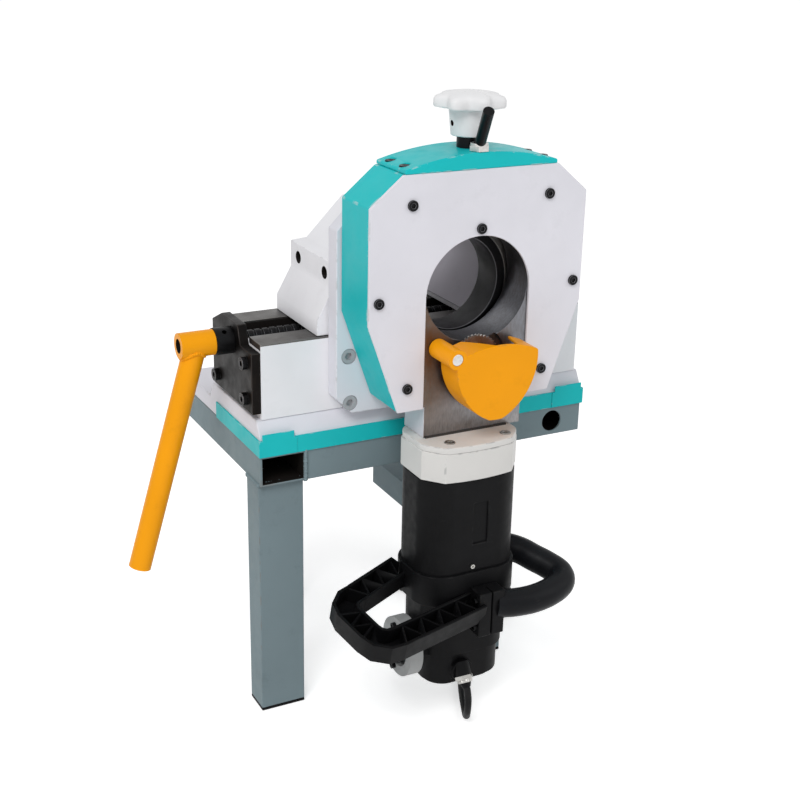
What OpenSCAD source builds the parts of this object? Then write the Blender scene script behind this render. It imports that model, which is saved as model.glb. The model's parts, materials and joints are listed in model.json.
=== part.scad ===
// Orbital pipe cutter on a low stand: a vise holds the pipe, and a head with a motor saw turns round it.
// Frame: the pipe lies along Y through the origin, the front is -Y, and +Z is up.

/* [Pipe passage] */
// Bore of the fixed liner, for the largest pipe
pipe_bore_d = 116; // [96:1:117]
// Wall of the fixed liner
liner_wall = 12; // [8:1:13]
// Wall of the spigot that the head turns on
spigot_wall = 18; // [12:1:20]
// How far the spigot stands out of the flange
spigot_len = 17; // [14:0.5:18]
// Wall of the bronze bush in the head
bush_wall = 8; // [5:1:10]
// Thickness of the ring that keeps the head on the spigot
retainer_t = 4; // [3:0.5:5]
// How far that ring reaches past the bush's bore
retainer_lip = 8; // [5:1:11]
// Thickness of the fixed flange
flange_t = 24; // [18:1:30]
// Width of the flange's lower part
flange_w = 300; // [284:2:304]
// Height of the flange's straight sides over the pipe axis
flange_rise = 95; // [60:1:110]
// Radial running clearance of shafts in their bores
run_clear = 0.05; // [0.02:0.01:0.1]

/* [Orbiting head] */
// Width of the head across its straight sides
head_w = 290; // [270:1:310]
// Width of the head's flat top
head_top_w = 206; // [190:1:220]
// Width of the head's bottom
head_bottom_w = 210; // [200:1:230]
// Height of the head's top over the pipe axis
head_top = 149; // [145:1:160]
// Height of the head's upper shoulders over the pipe axis
head_shoulder = 114; // [90:1:125]
// Depth of the head's lower shoulders under the pipe axis
head_hip = 23; // [10:1:40]
// Depth of the head's bottom under the pipe axis
head_drop = 135; // [128:1:136]
// Depth of the head along the pipe
head_depth = 75; // [70:1:85]
// Gap between the turning head and the fixed flange
head_gap = 2; // [1:0.5:3]
// Thickness of the head's back wall
head_wall = 21.5; // [20:0.5:24]
// Thickness of the white front plate
plate_t = 4; // [3:0.5:6]
// Width of the slot in the front plate
slot_w = 141; // [130:1:141]
// Rise of the rounded top cap
cap_rise = 19.5; // [12:0.5:26]
// Thickness of the top cap at its ends
cap_end = 5; // [3:0.5:8]
// Width left bare at each end of the top cap
cap_margin = 2; // [0:1:8]
// Thread of the front plate's socket screws
plate_screw_d = 8; // [6:1:8]

/* [Slide] */
// Bore through the slide
slide_bore_d = 141; // [140:1:146]
// Gap between the largest pipe and the foot of that bore
slide_bore_gap = 1.5; // [1:0.5:4]
// Width of the slide behind the front plate
slide_w = 160; // [156:1:162]
// Width of the slide's neck, under the head
neck_w = 136; // [120:1:140]
// Height of the slide's bridge over its bore
bridge_h = 17.5; // [14:0.5:20]
// Depth of the neck's foot under the pipe axis
neck_drop = 174; // [172:1:190]
// Sliding clearance on each side of the slide
slide_clear = 0.3; // [0.2:0.1:0.5]
// How far the slide's face lies behind the front plate's face
face_recess = 3; // [2:0.5:3.5]
// Upward feed of the slide from where the photograph has it
feed_travel = 25; // [20:1:30]
// Downward travel of the slide from there, to let the largest pipe in
feed_drop = 10; // [10:0.5:12]

/* [Blade and gears] */
// Diameter of the saw blade
blade_d = 68; // [60:1:68]
// Thickness of the saw blade
blade_t = 2.4; // [1.5:0.1:3]
// Number of saw teeth
blade_teeth = 44; // [24:2:60]
// How far the blade stands up through the foot of the slide's bore
blade_rise = 9.5; // [7:0.5:10]
// Diameter of the blade spindle
spindle_d = 15; // [12:0.5:16]
// Outside diameter of the spindle's ball bearings
spindle_bearing_d = 28; // [26:1:30]
// Width of each ball bearing of the spindle
spindle_bearing_w = 7; // [5:0.5:7]
// Module of the motor's spur gears
spur_module = 1; // [1:0.1:1.1]
// Teeth of the motor pinion
pinion_teeth = 12; // [10:1:13]
// Teeth of the spur gear on the drive shaft
spur_teeth = 38; // [36:1:39]
// Pitch radius of the bevel pinion
bevel_pinion_r = 9; // [8:0.5:9.5]
// Teeth of the bevel pinion
bevel_pinion_teeth = 12; // [10:1:14]
// Teeth of the bevel gear
bevel_gear_teeth = 24; // [20:1:24]
// Diameter of the vertical drive shaft
drive_shaft_d = 12; // [10:0.5:14]

/* [Guard] */
// Sideways place of the guard's pin, left of the blade
guard_pin_x = 52; // [48:1:54]
// Depth of the guard's pin under the pipe axis
guard_pin_drop = 61; // [58:1:64]
// Diameter of the guard's pin
guard_pin_d = 10; // [8:1:12]
// Depth of the guard along the pipe
guard_depth = 42; // [30:1:46]
// Sheet thickness of the guard
guard_t = 4; // [3:0.5:5]

/* [Motor] */
// Width of the motor casing
motor_w = 134; // [130:1:140]
// Depth of the motor casing along the pipe
motor_depth = 98; // [96:1:108]
// Corner radius of the motor casing
motor_corner = 36; // [28:1:44]
// Sideways place of the motor, left of the blade
motor_left = 12; // [8:0.5:14]
// How far the motor lies in front of the fixed flange
motor_front = 66; // [64:0.5:70]
// Height of the gearbox cover
cover_h = 8; // [6:0.5:12]
// Height of the gearbox housing
gearbox_h = 38; // [36:1:46]
// Height of the black motor casing
casing_h = 168; // [164:1:180]
// Height of the thicker collar at the casing's foot
collar_h = 42; // [30:1:50]
// How far the collar stands out of the casing
collar_out = 4; // [2:0.5:6]
// Height of the motor's end cap
end_cap_h = 122; // [112:1:124]
// How much narrower the end cap is on each side
end_cap_in = 9; // [5:1:12]
// Outside radius of the stator
stator_r = 43; // [40:0.5:43]
// Outside radius of the armature
armature_r = 28; // [24:0.5:29]
// Diameter of the armature shaft
armature_shaft_d = 12; // [10:0.5:12]
// Diameter of the switch bezel
bezel_d = 78; // [70:1:82]

/* [Handles] */
// Width of the left handle's ribbed channel
channel_w = 32; // [24:1:34]
// Height of the left handle's ribbed channel
channel_h = 26; // [20:1:30]
// Wall of the ribbed channel
channel_wall = 4; // [2.5:0.5:5]
// Diameter of the right handle's round grip
grip_d = 36; // [28:1:38]
// Slope of both handles, lower at the front
handle_tilt = 16.5; // [10:0.5:18]

/* [Feed knob and clamp] */
// Diameter of the star knob
knob_d = 86; // [70:1:95]
// Number of lobes on the star knob
knob_lobes = 7; // [5:1:9]
// Thickness of the star knob
knob_h = 18; // [14:1:24]
// Diameter of the knob's hub
knob_hub_d = 46; // [38:1:50]
// Height of the knob's hub
knob_hub_h = 30; // [20:1:34]
// Diameter of the black collar under the knob
feed_collar_d = 28; // [26:1:29]
// Height of that collar
feed_collar_h = 13.5; // [8:0.5:18]
// Diameter of the feed spindle
feed_spindle_d = 20; // [16:1:22]
// Diameter of the clamp's steel hub
clamp_hub_d = 25; // [22:0.5:26]
// Height of the clamp's steel hub
clamp_hub_h = 9; // [7:0.5:12]
// Diameter of the clamp's rod
clamp_rod_d = 13; // [10:0.5:13]

/* [Vise] */
// Left end of the vise body
vise_left = 238; // [230:1:242]
// Right end of the vise body
vise_right = 216; // [206:1:220]
// Depth of the vise body along the pipe
vise_depth = 140; // [138:1:160]
// Gap between the largest pipe and the guide rails
rail_gap = 4.5; // [2:0.5:6]
// Depth of the vise body's foot under the pipe axis
vise_foot_drop = 158; // [154:1:166]
// Middle of the jaws, behind the flange's front
jaw_middle = 91.5; // [91.5:0.5:94]
// Depth of the jaws along the pipe
jaw_depth = 128; // [100:1:128]
// Gap between the largest pipe and each jaw, with the vise open
jaw_gap = 4.4; // [1:0.2:6]
// Half height of the jaws' V
jaw_half_h = 56; // [52:1:56]
// Thickness of the hardened grips in the V
grip_pad_t = 6; // [4:0.5:8]
// Distance of the jaws' outer faces from the pipe axis
jaw_reach = 163; // [156:1:168]
// Height of the jaws' top over the pipe axis
jaw_top = 80; // [72:1:84]
// Width of each guide rail
rail_w = 37; // [28:1:37]
// Height that the guide rails stand over the vise body
rail_proud = 2; // [1:0.5:5]
// Diameter of the vise screw
vise_screw_d = 18; // [14:1:20]
// Thickness of the black end plate
end_plate_t = 12; // [8:1:14]
// Length of the crank's hub
crank_hub_len = 44; // [36:1:50]
// Outside diameter of the crank's hub
crank_hub_d = 32; // [28:1:36]
// Diameter of the crank's lever
crank_d = 28; // [20:1:28]
// Reach of the crank's lever under its hub
crank_reach = 284; // [220:1:300]
// Outward lean of the crank's lever
crank_lean = 16.4; // [8:0.2:20]

/* [Base and stand] */
// Left end of the base
base_left = 245; // [243:1:256]
// Right end of the base
base_right = 222; // [219:1:230]
// Front of the base, behind the flange's front
base_front = 13; // [12.5:0.5:16]
// Depth of the base along the pipe
base_depth = 283; // [270:1:298]
// Depth of the base's underside under the pipe axis
base_drop = 202; // [196:1:210]
// Height of the painted band round the base
band_h = 22; // [16:1:22]
// How far the band stands out of the base
band_out = 2; // [1:0.5:3]
// Width of the thicker corner pads in the band
pad_w = 50; // [40:1:60]
// Extra height of the corner pads
pad_rise = 8; // [4:1:12]
// Width of the stand's tubes
tube_w = 60; // [50:1:60]
// Height of the stand's rails
tube_h = 40; // [34:1:46]
// Wall of the stand's tubes
tube_wall = 3; // [2:0.5:4]
// Depth of the stand along the pipe
stand_depth = 300; // [285:1:320]
// Length of the legs under the rails
leg_len = 320; // [318:1:420]
// Thickness of the leg caps
leg_cap_t = 4; // [3:0.5:8]
// Sideways place of the right-hand legs
right_leg_x = 57; // [50:1:90]
// Sideways place of the rear left leg
rear_leg_left = 145; // [140:1:187]
// Depth of the stretcher under the rails
stretcher_drop = 130; // [110:1:180]
// Diameter of the hole in the front rail
rail_hole_d = 29; // [20:1:32]

/* [Lead] */
// Diameter of the rubber lead
lead_d = 9; // [8:0.5:9.5]
// Loops in each layer of the coil
coil_loops = 4; // [3:1:4]
// Radius of the coil at the middle of its turns
coil_mid_r = 54.5; // [54:0.5:58]
// Step between neighbouring turns
coil_step = 9.7; // [9.5:0.1:11]

/* [Hidden] */
$fn = 64;

// Small overlap that keeps cuts clean
eps = 0.1;
// Clearance of a screw's shank in its hole, and of parts seated in one another
fit_clear = 0.1;
// Gap left between pieces that move past each other
move_gap = 0.3;

// Radii round the pipe axis, from the inside out
liner_r = pipe_bore_d / 2;
liner_or = liner_r + liner_wall;
spigot_r = liner_or + spigot_wall;
bush_ir = spigot_r + run_clear;
bush_or = spigot_r + bush_wall;
retainer_r = spigot_r + retainer_lip;
slide_bore_r = slide_bore_d / 2;
slide_bore_lift = slide_bore_r - liner_r - slide_bore_gap;
slot_r = slot_w / 2;

// Places along the pipe, from the front to the back
head_back = -head_gap;
head_front = head_back - head_depth;
plate_back = head_front + plate_t;
pocket_back = head_back - head_wall;
slide_front = plate_back + slide_clear;
slide_back = pocket_back - 0.5;
face_y = head_front + face_recess;
bush_front = -spigot_len + 1;

// Heights of the head and the cap
head_foot_z = -head_drop;
cap_half = head_top_w / 2 - cap_margin;
cap_arch = cap_rise - cap_end;
cap_r = (cap_half * cap_half + cap_arch * cap_arch) / (2 * cap_arch);
cap_top = head_top + cap_rise;
bridge_top = slide_bore_lift + slide_bore_r + bridge_h;

// Blade and gear places
blade_r = blade_d / 2;
spindle_z = slide_bore_lift - slide_bore_r + blade_rise - blade_r;
spindle_r = spindle_d / 2;
blade_pocket_r = blade_r + 8;
blade_pocket_y = face_y + 6;
blade_back = face_y + 0.9;
blade_front = blade_back - blade_t;
motor_x = -motor_left;
motor_y = -motor_front;
spur_distance = spur_module * (pinion_teeth + spur_teeth) / 2;
drive_y = motor_y + sqrt(spur_distance * spur_distance - motor_x * motor_x);
spur_angle = atan2(drive_y - motor_y, -motor_x);
bevel_gear_r = bevel_pinion_r * bevel_gear_teeth / bevel_pinion_teeth;
bevel_face = 8;
bevel_cone = sqrt(bevel_gear_r * bevel_gear_r + bevel_pinion_r * bevel_pinion_r);
bevel_small = (bevel_cone - bevel_face) / bevel_cone;
bevel_gear_y = drive_y + bevel_pinion_r;
bevel_pinion_z = spindle_z - bevel_gear_r;
gear_chamber_r = bevel_gear_r + 3.5;
gear_chamber_y = drive_y - 10;
spindle_end_y = slide_back - 4;
drive_bearing_d = 26;
drive_bearing_w = 9;
drive_bearing_top = bevel_pinion_z - 14;
drive_bore_r = max(bevel_pinion_r + 3, drive_bearing_d / 2);

// Heights of the motor, from the top down
neck_foot_z = -neck_drop;
cover_z = neck_foot_z - cover_h;
gearbox_z = cover_z - gearbox_h;
casing_z = gearbox_z - casing_h;
collar_z = casing_z + collar_h;
end_cap_z = casing_z - end_cap_h;
spur_top = cover_z - 12;
spur_w = 10;
casing_floor = 12;
motor_bearing_d = 28;
motor_bearing_w = 8;
end_cap_w = motor_w - 2 * end_cap_in;
end_cap_depth = motor_depth;
bezel_z = end_cap_z + 50;
bezel_proud = 22;
switch_x = motor_x - end_cap_w / 2 - 6;
switch_shaft_r = 5;
switch_shaft_len = 9;
gland_z = end_cap_z + 23;
gland_x = motor_x - 12;
gland_tilt = 55;

// Feed knob and clamp places
knob_y = -39.5;
feed_collar_top = cap_top + feed_collar_h;
knob_hub_top = feed_collar_top + move_gap + knob_hub_h;
knob_z = knob_hub_top + 2;
feed_nut_r = feed_spindle_d / 2 + 3;
clamp_x = -1.5;
clamp_y = -67;
clamp_z = cap_top + move_gap;
clamp_stud_r = 5;
clamp_lean = [-12, -38, 46];

// Guard places
guard_y = head_front - 5;
guard_face_y = guard_y - guard_depth;
guard_pin_z = -guard_pin_drop;
guard_boss_r = guard_pin_d / 2 + 7;
// Arcs that bound the guard's face: sideways and upward place from the pin, and radius
guard_arcs = [[57, -117, 128], [28.5, -9, 82], [78, -11, 78], [57, 17, 100]];
// The gap in the guard's top, seen from above
guard_gap = [[-25, guard_y], [0, guard_face_y + guard_t], [30, guard_face_y + guard_t], [40, guard_y]];
guard_gap_low = guard_pin_z - 14;
// Recess in the guard's boss for the ring that keeps it on its pin
ring_seat = 3;
ring_r = guard_pin_d / 2 + 1.8;

// Vise places
rail_top = -(liner_r + rail_gap);
vise_top = rail_top - rail_proud;
vise_foot = -vise_foot_drop;
rail_seat = vise_top - 6;
screw_z = rail_top - vise_screw_d / 2 - 2;
channel_half = vise_screw_d / 2 + 19;
rail_in = channel_half + 2;
jaw_foot = rail_top + move_gap;
foot_half = channel_half - 1;
jaw_front = jaw_middle - jaw_depth / 2;
jaw_back = jaw_middle + jaw_depth / 2;
jaw_slope = 60;
jaw_step = 20;
jaw_ledge = 27;
jaw_open = (liner_r + jaw_gap) / sin(jaw_slope);
end_plate_x = -vise_left - end_plate_t;
screw_collar_len = 23;
screw_collar_x = end_plate_x - move_gap - screw_collar_len;
screw_collar_d = 34;
crank_hub_x = screw_collar_x - crank_hub_len;
crank_mid_x = crank_hub_x + crank_hub_len / 2;

// Base and stand places
base_foot = -base_drop;
band_top = base_foot + band_h;
base_back = base_front + base_depth;
rail_foot = base_foot - tube_h;
leg_foot = rail_foot - leg_len;
floor_z = leg_foot - leg_cap_t;
stand_back = base_front + stand_depth;
leg_set_back = 8;
rail_hole_x = base_right - 45;
base_bolt_d = 12;
base_bolt_places = [for (x = [-base_left + tube_w / 2, base_right - tube_w / 2])
                    for (y = [base_front + 110, base_front + 200]) [x, y]];
leg_places = [
    [-base_left, base_front + leg_set_back],
    [right_leg_x, base_front + leg_set_back],
    [-rear_leg_left, stand_back - tube_h],
    [right_leg_x + tube_w, stand_back - tube_h],
];

// Screw places on the front plate, the cap, the flange and the end plate, set in from their edges
plate_screw_places = [
    [-head_top_w / 2 + 11.5, head_shoulder], [head_top_w / 2 - 11.5, head_shoulder],
    [-head_w / 2 + 12.5, 3.5], [head_w / 2 - 12.5, 3.5],
    [-head_bottom_w / 2 + 11.5, head_foot_z + 29.5], [head_bottom_w / 2 - 11.5, head_foot_z + 29.5],
];
slot_screw_z = slot_r + 9;

// Hollows that lighten the head's cheeks: middle, half width, foot and top of each
cheek_pockets = [
    [head_w / 2 - 28, 14, 18, head_shoulder - 20],
    [head_w / 2 - 39, 12, head_foot_z + 55, -12],
];

cap_screw_x = cap_half - 9;
cap_screw_ys = [head_front + 20, head_back - 20];
flange_bolt_places = [for (s = [-1, 1]) each [
    [s * (flange_w / 2 - 17), vise_top - 19],
    [s * (flange_w / 2 - 19), vise_foot + 14],
    [s * (flange_w / 2 - 60), vise_foot + 31],
]];
end_plate_y0 = flange_t;
end_plate_y1 = flange_t + 134;
end_plate_top = vise_top + 16;
end_plate_foot = vise_foot + 8;
end_plate_bolt_places = [for (y = [end_plate_y0 + 18, end_plate_y1 - 18])
                         for (z = [end_plate_foot + 16, rail_seat - 18]) [y, z]];

// Basic shapes

function unit(v) = v / norm(v);

module along_y(y0, y1) {
    translate([0, y1, 0]) rotate([90, 0, 0]) linear_extrude(y1 - y0) children();
}

module along_x(x0, x1) {
    translate([x0, 0, 0]) rotate([90, 0, 90]) linear_extrude(x1 - x0) children();
}

module rod_y(x, z, y0, y1, r) {
    translate([x, y1, z]) rotate([90, 0, 0]) cylinder(h = y1 - y0, r = r);
}

module rod_x(y, z, x0, x1, r) {
    translate([x0, y, z]) rotate([0, 90, 0]) cylinder(h = x1 - x0, r = r);
}

module rod_z(x, y, z0, z1, r) {
    translate([x, y, z0]) cylinder(h = z1 - z0, r = r);
}

module block(low, high) {
    translate(low) cube(high - low);
}

// A rectangle with round corners, centred
module round_rect(w, d, r) {
    square([w - 2 * r, d], center = true);
    square([w, d - 2 * r], center = true);
    for (x = [-1, 1], y = [-1, 1]) translate([x * (w / 2 - r), y * (d / 2 - r)]) circle(r);
}

// The point at this distance to the left of a path's corner i
function beside(p, i, d) = let (
    a = unit(p[max(i, 1)] - p[max(i, 1) - 1]),
    b = unit(p[min(i, len(p) - 2) + 1] - p[min(i, len(p) - 2)]),
    n = unit([-a[1] - b[1], a[0] + b[0]]))
    p[i] + n * d / (a[0] * n[1] - a[1] * n[0]);

// A flat ribbon of one width along a path
module ribbon(p, w) {
    last = len(p) - 1;
    polygon(concat(
        [for (i = [0 : last]) beside(p, i, w / 2)],
        [for (i = [0 : last]) beside(p, last - i, -w / 2)]));
}

// A socket head screw along +Y, its head in front of the face at y
module socket_screw_y(x, z, y, d, head_h, len) {
    difference() {
        union() {
            rod_y(x, z, y - head_h, y, 0.8 * d);
            rod_y(x, z, y - eps, y + len, d / 2 - fit_clear);
        }
        translate([x, y - head_h - eps, z]) rotate([-90, 0, 0])
            cylinder(h = head_h * 0.6, d = 0.8 * d, $fn = 6);
    }
}

// A socket head screw along -Z, its head over the face at z
module socket_screw_z(x, y, z, d, head_h, len) {
    difference() {
        union() {
            rod_z(x, y, z, z + head_h, 0.8 * d);
            rod_z(x, y, z - len, z + eps, d / 2 - fit_clear);
        }
        translate([x, y, z + head_h * 0.4]) cylinder(h = head_h, d = 0.8 * d, $fn = 6);
    }
}

// A toothed outline with narrow teeth, so that a pair runs with backlash
module gear_outline(teeth, pitch_r) {
    m = 2 * pitch_r / teeth;
    step = 360 / teeth;
    polygon([for (i = [0 : teeth - 1]) each [
        for (p = [[-0.25, -1.25], [-0.13, 0], [-0.07, 0.6], [0.07, 0.6], [0.13, 0], [0.25, -1.25]])
        let (a = (i + p[0]) * step, r = pitch_r + p[1] * m) [r * cos(a), r * sin(a)]
    ]]);
}

// Outline of the head's front, in x and z
module head_outline() {
    polygon([
        [-head_top_w / 2, head_top], [head_top_w / 2, head_top],
        [head_w / 2, head_shoulder], [head_w / 2, -head_hip],
        [head_bottom_w / 2, head_foot_z], [-head_bottom_w / 2, head_foot_z],
        [-head_w / 2, -head_hip], [-head_w / 2, head_shoulder],
    ]);
}

// Stand

module tube_y(x, z, y0, y1, w, h) {
    difference() {
        block([x, y0, z], [x + w, y1, z + h]);
        block([x + tube_wall, y0 - eps, z + tube_wall], [x + w - tube_wall, y1 + eps, z + h - tube_wall]);
    }
}

module tube_x(x0, x1, y, z, w, h) {
    difference() {
        block([x0, y, z], [x1, y + w, z + h]);
        block([x0 - eps, y + tube_wall, z + tube_wall], [x1 + eps, y + w - tube_wall, z + h - tube_wall]);
    }
}

module stand_top_frame() {
    inner_x0 = -base_left + tube_w;
    inner_x1 = base_right - tube_w;
    color("slategray") difference() {
        union() {
            tube_y(-base_left, rail_foot, base_front, stand_back, tube_w, tube_h);
            tube_y(inner_x1, rail_foot, base_front + tube_w, stand_back, tube_w, tube_h);
            tube_x(inner_x0, base_right, base_front, rail_foot, tube_w, tube_h);
            tube_x(inner_x0, inner_x1, stand_back - tube_w, rail_foot, tube_w, tube_h);
        }
        rod_y(rail_hole_x, rail_foot + tube_h / 2, base_front - eps, base_front + tube_wall + eps,
              rail_hole_d / 2);
        for (p = base_bolt_places) rod_z(p[0], p[1], rail_foot - eps, base_foot + eps, base_bolt_d / 2);
    }
}

module stand_legs() {
    color("slategray") for (p = leg_places) difference() {
        block([p[0], p[1], leg_foot], [p[0] + tube_w, p[1] + tube_h, rail_foot]);
        block([p[0] + tube_wall, p[1] + tube_wall, leg_foot - eps],
              [p[0] + tube_w - tube_wall, p[1] + tube_h - tube_wall, rail_foot + eps]);
    }
}

module stand_stretcher() {
    z = rail_foot - stretcher_drop - tube_h;
    color("slategray") tube_y(right_leg_x, z, base_front + leg_set_back + tube_h, stand_back, tube_w, tube_h);
}

module leg_caps() {
    plug_h = 12;
    plug_in = tube_wall + fit_clear;
    color("dimgray") for (p = leg_places) {
        block([p[0], p[1], floor_z], [p[0] + tube_w, p[1] + tube_h, leg_foot]);
        block([p[0] + plug_in, p[1] + plug_in, leg_foot - eps],
              [p[0] + tube_w - plug_in, p[1] + tube_h - plug_in, leg_foot + plug_h]);
    }
}

// Base

module base_casting() {
    slope = 13;
    rib = 10;
    upper_back = flange_t + vise_depth + slope;
    color("gainsboro") difference() {
        along_x(-base_left, base_right) polygon([
            [base_front, base_foot], [base_front, band_top],
            [base_front + slope, vise_foot], [upper_back, vise_foot],
            [upper_back + slope, band_top], [base_back, band_top], [base_back, base_foot],
        ]);
        block([-base_left + tube_w + rib, base_front + tube_w + rib, base_foot - eps],
              [base_right - tube_w - rib, upper_back - rib, vise_foot - rib]);
        for (p = base_bolt_places) rod_z(p[0], p[1], base_foot - eps, base_foot + 16, base_bolt_d / 2);
    }
}

module base_trim() {
    pad_out = band_out + 1;
    band_back = base_front + 150;
    y0 = base_front - band_out;
    color("darkturquoise") {
        difference() {
            block([-base_left - band_out, y0, base_foot], [base_right + band_out, band_back, band_top]);
            block([-base_left, base_front, base_foot - eps], [base_right, band_back + eps, band_top + eps]);
        }
        for (x = [-base_left - band_out, base_right + band_out - pad_w])
            along_y(base_front - pad_out, y0 + eps) translate([x, base_foot]) {
                square([pad_w, band_h]);
                translate([4, 0]) square([pad_w - 8, band_h + pad_rise]);
            }
    }
}

module base_bolts() {
    head_h = 7.5;
    color("dimgray") for (p = base_bolt_places) {
        translate([p[0], p[1], rail_foot - head_h]) cylinder(h = head_h, d = 21, $fn = 6);
        rod_z(p[0], p[1], rail_foot - eps, base_foot + 15, base_bolt_d / 2 - fit_clear);
    }
}

// Vise

module vise_body() {
    back = flange_t + vise_depth;
    color("gainsboro") difference() {
        block([-vise_left, flange_t, vise_foot], [vise_right, back, vise_top]);
        for (s = [-1, 1]) block(
            [-vise_left - eps, jaw_middle + (s > 0 ? rail_in : -rail_in - rail_w), rail_seat],
            [vise_right + eps, jaw_middle + (s > 0 ? rail_in + rail_w : -rail_in), vise_top + eps]);
        block([-vise_left - eps, jaw_middle - channel_half, screw_z - channel_half],
              [vise_right + eps, jaw_middle + channel_half, vise_top + eps]);
        block([-vise_left + 24, flange_t + 22, vise_foot - eps],
              [vise_right - 24, back - 22, screw_z - channel_half - 14]);
        for (p = flange_bolt_places) rod_y(p[0], p[1], flange_t - eps, flange_t + 26, 6);
        for (p = end_plate_bolt_places) rod_x(p[0], p[1], -vise_left - eps, -vise_left + 22, 5);
    }
}

module guide_rails() {
    color("gray") for (s = [-1, 1])
        block([-vise_left, jaw_middle + (s > 0 ? rail_in : -rail_in - rail_w), rail_seat],
              [vise_right, jaw_middle + (s > 0 ? rail_in + rail_w : -rail_in), rail_top]);
}

module end_plate() {
    color([0.13, 0.11, 0.10]) difference() {
        along_x(end_plate_x, -vise_left) polygon([
            [end_plate_y0, end_plate_foot], [end_plate_y1, end_plate_foot],
            [end_plate_y1, end_plate_top - 16], [end_plate_y1 - 34, end_plate_top],
            [end_plate_y0 + rail_w + 8, end_plate_top], [end_plate_y0 + rail_w, rail_seat - 2],
            [end_plate_y0, rail_seat - 2],
        ]);
        rod_x(jaw_middle, screw_z, end_plate_x - eps, -vise_left + eps, vise_screw_d / 2 + run_clear);
        for (p = end_plate_bolt_places) rod_x(p[0], p[1], end_plate_x - eps, -vise_left + eps, 5);
    }
}

module end_plate_bolts() {
    color("black") for (p = end_plate_bolt_places) difference() {
        union() {
            rod_x(p[0], p[1], end_plate_x - 7, end_plate_x, 8);
            rod_x(p[0], p[1], end_plate_x - eps, -vise_left + 20, 5 - fit_clear);
        }
        translate([end_plate_x - 7 - eps, p[0], p[1]]) rotate([0, 90, 0]) cylinder(h = 4, d = 8, $fn = 6);
    }
}

module flange() {
    corner = 22;
    color("gainsboro") difference() {
        union() {
            rod_y(0, 0, 0, flange_t, flange_w / 2 - 22);
            along_y(0, flange_t) polygon([
                [-flange_w / 2, flange_rise - corner], [-flange_w / 2 + corner, flange_rise],
                [flange_w / 2 - corner, flange_rise], [flange_w / 2, flange_rise - corner],
                [flange_w / 2, vise_foot + corner], [flange_w / 2 - corner, vise_foot],
                [-flange_w / 2 + corner, vise_foot], [-flange_w / 2, vise_foot + corner],
            ]);
            rod_y(0, 0, -spigot_len, eps, spigot_r);
        }
        rod_y(0, 0, -spigot_len - eps, flange_t + eps, liner_or);
        for (p = flange_bolt_places) {
            rod_y(p[0], p[1], -eps, flange_t + eps, 6);
            rod_y(p[0], p[1], -eps, 8, 10);
        }
    }
}

module flange_bolts() {
    color("silver") for (p = flange_bolt_places) socket_screw_y(p[0], p[1], 8, 12, 7.5, 40);
}

module liner() {
    color("black") difference() {
        rod_y(0, 0, -spigot_len - retainer_t, flange_t, liner_or);
        rod_y(0, 0, -spigot_len - retainer_t - eps, flange_t + eps, liner_r);
    }
}

module hub_retainer() {
    color("gray") difference() {
        rod_y(0, 0, -spigot_len - retainer_t, -spigot_len, retainer_r);
        rod_y(0, 0, -spigot_len - retainer_t - eps, -spigot_len + eps, liner_or);
    }
}

module vise_screw() {
    thread_r = vise_screw_d / 2;
    pitch = 10;
    x0 = -vise_left + 6;
    x1 = vise_right - 6;
    color("dimgray") difference() {
        rod_x(jaw_middle, screw_z, crank_hub_x + 10, x1, thread_r);
        for (x = [x0 : pitch : x1 - 4]) translate([x, jaw_middle, screw_z]) rotate([0, 90, 0])
            difference() {
                cylinder(h = 3, r = thread_r + 1);
                translate([0, 0, -eps]) cylinder(h = 3 + 2 * eps, r = thread_r - 1.2);
            }
    }
}

module screw_collar() {
    color("black") difference() {
        rod_x(jaw_middle, screw_z, screw_collar_x, screw_collar_x + screw_collar_len, screw_collar_d / 2);
        rod_x(jaw_middle, screw_z, screw_collar_x - eps, screw_collar_x + screw_collar_len + eps,
              vise_screw_d / 2 + fit_clear);
        translate([screw_collar_x + screw_collar_len / 2, jaw_middle, screw_z]) rotate([35, 0, 0])
            cylinder(h = screw_collar_d, d = 6);
    }
}

module crank_handle() {
    lever_len = crank_reach / cos(crank_lean);
    color("orange") difference() {
        union() {
            rod_x(jaw_middle, screw_z, crank_hub_x, crank_hub_x + crank_hub_len - move_gap, crank_hub_d / 2);
            translate([crank_mid_x, jaw_middle, screw_z]) rotate([0, 180 + crank_lean, 0])
                cylinder(h = lever_len, d = crank_d);
        }
        rod_x(jaw_middle, screw_z, crank_hub_x - eps, crank_hub_x + crank_hub_len + eps,
              vise_screw_d / 2 + fit_clear);
    }
}

// Outline of the left jaw in x and z, with room in its V for the grips
module jaw_outline(root) {
    tip = root + jaw_half_h / tan(jaw_slope);
    polygon([
        [-jaw_reach, jaw_foot], [-jaw_reach, jaw_foot + 20], [-jaw_reach + jaw_step, jaw_foot + 56],
        [-jaw_reach + jaw_step, jaw_ledge], [-jaw_reach + jaw_step + 22, jaw_ledge + 2],
        [-jaw_reach + jaw_step + 72, jaw_top], [tip, jaw_top], [tip, jaw_half_h],
        [root, 0], [tip, -jaw_half_h], [tip, jaw_foot],
    ]);
}

module jaw() {
    back_root = -jaw_open - grip_pad_t / sin(jaw_slope);
    difference() {
        union() {
            along_y(jaw_front, jaw_back) jaw_outline(back_root);
            block([-jaw_reach + 14, jaw_middle - foot_half, screw_z - vise_screw_d / 2 - 6],
                  [-jaw_reach + 84, jaw_middle + foot_half, jaw_foot + eps]);
        }
        rod_x(jaw_middle, screw_z, -jaw_reach - eps, 0, vise_screw_d / 2 + run_clear);
        for (y = [jaw_front + 23, jaw_back - 25])
            rod_x(y, 10, -jaw_reach, -jaw_reach + jaw_step + 18, 8);
    }
}

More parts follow.
